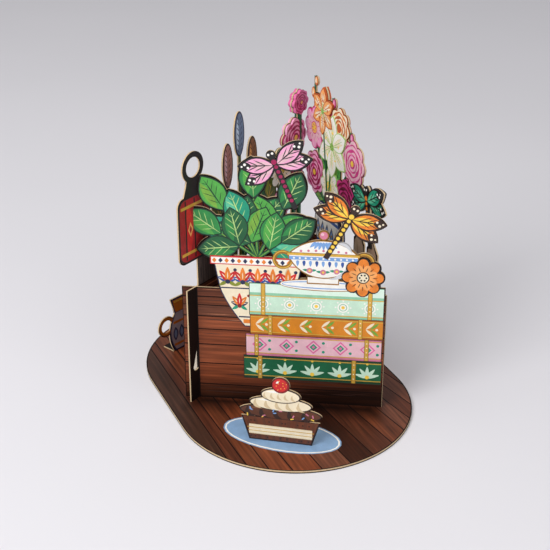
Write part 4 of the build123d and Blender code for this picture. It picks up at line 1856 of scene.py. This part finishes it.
@dataclass
class GreetingCard:
    """The whole card: its stock and the print on every sheet."""

    nodes: dict[str, bpy.types.Object]
    top: float
    half_width: float
    half_length: float
    ground: Rgb = (22, 10, 7)
    # Share of the board's thickness that is darkened as painted shade at the foot of its edge.
    edge_foot_shade_share: float = 0.42
    flap_reach: float = 1.5 * CARD

    def panels(self) -> dict[Places, Panel]:
        """Give the place of every sheet.

        Returns:
            The panels by the sheets' names.
        """
        angle = math.radians(CORNER_TURN)
        fold = (LEFT_CORNER_X + SIDE * math.cos(angle), SIDE * math.sin(angle))
        return {Places.BOARD: Panel(0.0, 0.0, self.top, 0.0, True),
                Places.FRONT: Panel(LEFT_CORNER_X, 0.0, self.top, -CORNER_TURN),
                Places.REAR: Panel(LEFT_CORNER_X, 0.0, self.top, CORNER_TURN),
                Places.SIDE: Panel(*fold, self.top, -90.0),
                Places.CAKE: Panel(-24.5, -63.5, self.top, -36.0),
                Places.JUG: Panel(-37.0, 61.0, self.top, 25.0)}

    def stock(self) -> None:
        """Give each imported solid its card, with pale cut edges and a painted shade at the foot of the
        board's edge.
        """
        sheets = {"base_board": (Places.BOARD,), "folded_screen": (Places.FRONT, Places.REAR, Places.SIDE),
                  "front_figure": (Places.CAKE,), "rear_figure": (Places.JUG,)}
        panels = self.panels()
        for name, places in sheets.items():
            lying = name == "base_board"
            ways = [panels[place].facing() for place in places]
            backs = [] if lying else [(-x, -y, -z) for x, y, z in ways]
            # Painted shade on the lower part of the board's cut edge.
            edge_foot_shade = self.edge_foot_shade_share * self.top if lying else 0.0
            card = CutCard("card_" + name, (*ways, *backs), self.ground, self.top + self.flap_reach, edge_foot_shade)
            card.dress(self.nodes[name].data)
            LOG.info("%s: card stock", name)

    def front(self) -> list[Motif]:
        """Give what is printed on the front panel.

        Returns:
            The motifs from the lowest layer up.
        """
        angle = math.radians(CORNER_TURN)
        # Painted shade at the front wall's foot, deepening towards its right end.
        slant = Shade((-0.13 * math.cos(angle), 0.13 * math.sin(angle), 1.0), -8.0, 13.0, 31.0)
        wall = PlankWall(1.0, SIDE - 0.2, -CORNER_TURN, 1, TAIL - 0.4, shade=slant)
        return [wall, PottedPlant(), BoxStack(), CoveredBowl(),
                Blossom(95.5, WALL + 11.0, 12.5, Petals.CORNER),
                Dragonfly(46.0, WALL + 76.0, 24.0, Wings.PINK),
                Dragonfly(87.0, WALL + 46.0, -28.0, Wings.AMBER)]

    def rear(self) -> list[Motif]:
        """Give what is printed on the left rear panel.

        Returns:
            The motifs from the lowest layer up.
        """
        stalks = ((30.0, 96.0), (38.0, 112.0), (44.0, 78.0), (54.0, 100.0), (60.0, 74.0), (70.0, 106.0))
        greens = (Greens.DUSK, Greens.OLIVE, Greens.DEEP)
        motifs = [PlankWall(1.0, SIDE - 0.6, CORNER_TURN, 2),
                  BroadLeaves(stalks, WALL - 2.0, 56.0, 17.0, greens), Reeds()]
        kinds = ((Petals.ROSE, BlossomStyle.ROSETTE), (Petals.DUSKY, BlossomStyle.ROSETTE),
                 (Petals.PALE, BlossomStyle.DAISY))
        places = ((79.0, 20.0, 13.0), (95.0, 34.0, 13.0), (82.0, 47.0, 13.0), (96.0, 63.0, 12.5),
                  (101.0, 84.0, 8.0))
        for order, (u, v, radius) in enumerate(places):
            colours, style = kinds[order % len(kinds)]
            motifs += [Stem((u, WALL), (u, WALL + v)), Blossom(u, WALL + v, radius, colours, style)]
        return [*motifs, Lantern()]

    def side(self) -> list[Motif]:
        """Give what is printed on the right panel.

        Returns:
            The motifs from the lowest layer up.
        """
        neck = (36.0, 98.4)
        stalks = tuple((neck[0], turn) for turn in (24.0, 156.0, 47.0, 133.0, 68.0, 112.0))
        greens = (Greens.DEEP, Greens.FRESH, Greens.LIME)
        motifs = [PlankWall(0.6, SIDE - 0.6, -90.0, 3), BroadLeaves(stalks, neck[1], 36.0, 11.0, greens)]
        for u, top, colours in ((14.0, 104.0, Petals.PEACH), (38.0, 97.0, Petals.BELLS),
                                (61.0, 83.0, Petals.BELLS)):
            spire = BellSpire(u, WALL + top, colours)
            motifs += [Stem(neck, (u, spire.top - spire.length)), spire]
        flowers = (Blossom(14.5, WALL + 70.0, 13.5, Petals.PINK),
                   Blossom(65.0, WALL + 64.0, 14.0, Petals.PINK, BlossomStyle.ROSETTE),
                   Blossom(48.0, WALL + 80.0, 12.0, Petals.PEACH, BlossomStyle.ROSETTE),
                   Blossom(16.0, WALL + 42.0, 14.0, Petals.ROSE, BlossomStyle.ROSETTE),
                   Blossom(57.0, WALL + 38.0, 14.0, Petals.DARK, BlossomStyle.ROSETTE),
                   Blossom(37.0, WALL + 40.0, 12.0, Petals.WHITE),
                   StarLily(40.0, WALL + 66.0, 20.0, Petals.WHITE),
                   StarLily(27.0, WALL + 84.0, 15.0, Petals.PEACH))
        for flower in flowers:
            motifs += [Stem(neck, (flower.u, flower.v)), flower]
        return [*motifs, Vase(), Pickets(), Dragonfly(84.0, WALL + 48.0, 12.0, Wings.TEAL)]

    def lay_print(self, place: Places, name: str, slot: str, motifs: Iterable[Motif],
                  raised: float = 0.5 * CARD, both_sides: bool = True) -> None:
        """Print one sheet.

        Args:
            place: The sheet.
            name: The piece's name.
            slot: The record's material slot.
            motifs: What is printed, from the lowest layer up.
            raised: The height of the printed face over the sheet's own plane.
            both_sides: Whether the other face is printed too.
        """
        sheet = PrintSheet(self.panels()[place], raised)
        for motif in motifs:
            motif.draw(sheet)
        sheet.finish(name, slot, both_sides)

    def build(self) -> None:
        """Dress the solids and print every sheet."""
        self.stock()
        floor = PlankFloor(self.half_width, self.half_length)
        self.lay_print(Places.BOARD, "board_print", "printed_board", [floor, ServingMat()], 0.0, False)
        self.lay_print(Places.FRONT, "front_panel_print", "printed_card", self.front())
        over = 0.5 * CARD + 2.0 * LEVEL_STEP
        self.lay_print(Places.FRONT, "tail_patch_print", "printed_card", [PaleTailPatch()], over, False)
        self.lay_print(Places.REAR, "rear_panel_print", "printed_card", self.rear())
        self.lay_print(Places.SIDE, "side_panel_print", "printed_card", self.side())
        self.lay_print(Places.CAKE, "cup_cake_print", "front_figure_card", [CupCake()])
        self.lay_print(Places.JUG, "jug_print", "rear_figure_card", [Jug()])


@dataclass(frozen=True)
class SoftLight:
    """A square soft light, in metres and watts."""

    name: str
    place: Way
    size: float
    power: float

    def hang(self, aim: Way) -> None:
        """Hang the light so that it faces a point.

        Args:
            aim: The point, in metres.
        """
        data = bpy.data.lights.new(self.name, "AREA")
        data.size = self.size
        data.energy = self.power
        lamp = bpy.data.objects.new(self.name, data)
        lamp.location = self.place
        lamp.rotation_euler = (Vector(aim) - lamp.location).to_track_quat("-Z", "Y").to_euler()
        bpy.context.collection.objects.link(lamp)


@dataclass
class Studio:
    """Pale floor, soft lights and the camera."""

    eye: Way = (-0.24661, -0.55809, 0.37429)
    look: Way = (0.36253, 0.82005, -0.44283)
    lens: float = 75.4715
    sensor: float = 36.0
    floor_size: float = 8.0
    floor_rgb: Rgb = (226, 224, 228)
    world_rgb: tuple[float, float, float, float] = (0.9, 0.9, 0.92, 1.0)
    world_strength: float = 0.5
    aim: Way = (0.0, 0.0, 0.07)
    lights: tuple[SoftLight, ...] = (
        SoftLight("key_light", (-1.06, -0.44, 0.85), 0.7, 11.5),
        SoftLight("fill_light", (0.4, -1.15, 0.7), 1.0, 3.0),
        SoftLight("top_light", (-0.45, 0.0, 1.4), 1.2, 5.5))

    def floor(self) -> None:
        """Set a plain pale floor under the card."""
        bpy.ops.object.select_all(action="DESELECT")
        bpy.ops.mesh.primitive_plane_add(size=self.floor_size)
        plane = bpy.context.object
        plane.name = "studio_floor"
        bench = NodeBench("studio_floor")
        cloud = bench.noise(bench.place, 3.0, 2.0)
        tone = bench.mix(cloud, linear(self.floor_rgb, 0.97), linear(self.floor_rgb, 1.03))
        plane.data.materials.append(bench.coat({"Base Color": tone, "Roughness": 0.9}))

    def build(self) -> None:
        """Set up the floor, the light and the camera."""
        self.floor()
        for light in self.lights:
            light.hang(self.aim)
        world = bpy.data.worlds.new("studio_world")
        world.use_nodes = True
        background = world.node_tree.nodes["Background"]
        background.inputs["Color"].default_value = self.world_rgb
        background.inputs["Strength"].default_value = self.world_strength
        scene = bpy.context.scene
        scene.world = world
        scene.view_settings.view_transform = "Standard"
        camera = bpy.data.objects.new("camera", bpy.data.cameras.new("camera"))
        camera.data.lens = self.lens
        camera.data.sensor_width = self.sensor
        camera.data.clip_start = 0.01
        camera.location = self.eye
        camera.rotation_euler = Vector(self.look).to_track_quat("-Z", "Y").to_euler()
        bpy.context.collection.objects.link(camera)
        scene.camera = camera


def main() -> None:
    """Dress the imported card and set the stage."""
    logging.basicConfig(level=logging.INFO, format="%(name)s: %(message)s")
    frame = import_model()
    low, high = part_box("base_board")
    GreetingCard(frame["nodes"], high.z / MM, high.x / MM, high.y / MM).build()
    Studio().build()


if __name__ == "__main__":
    main()
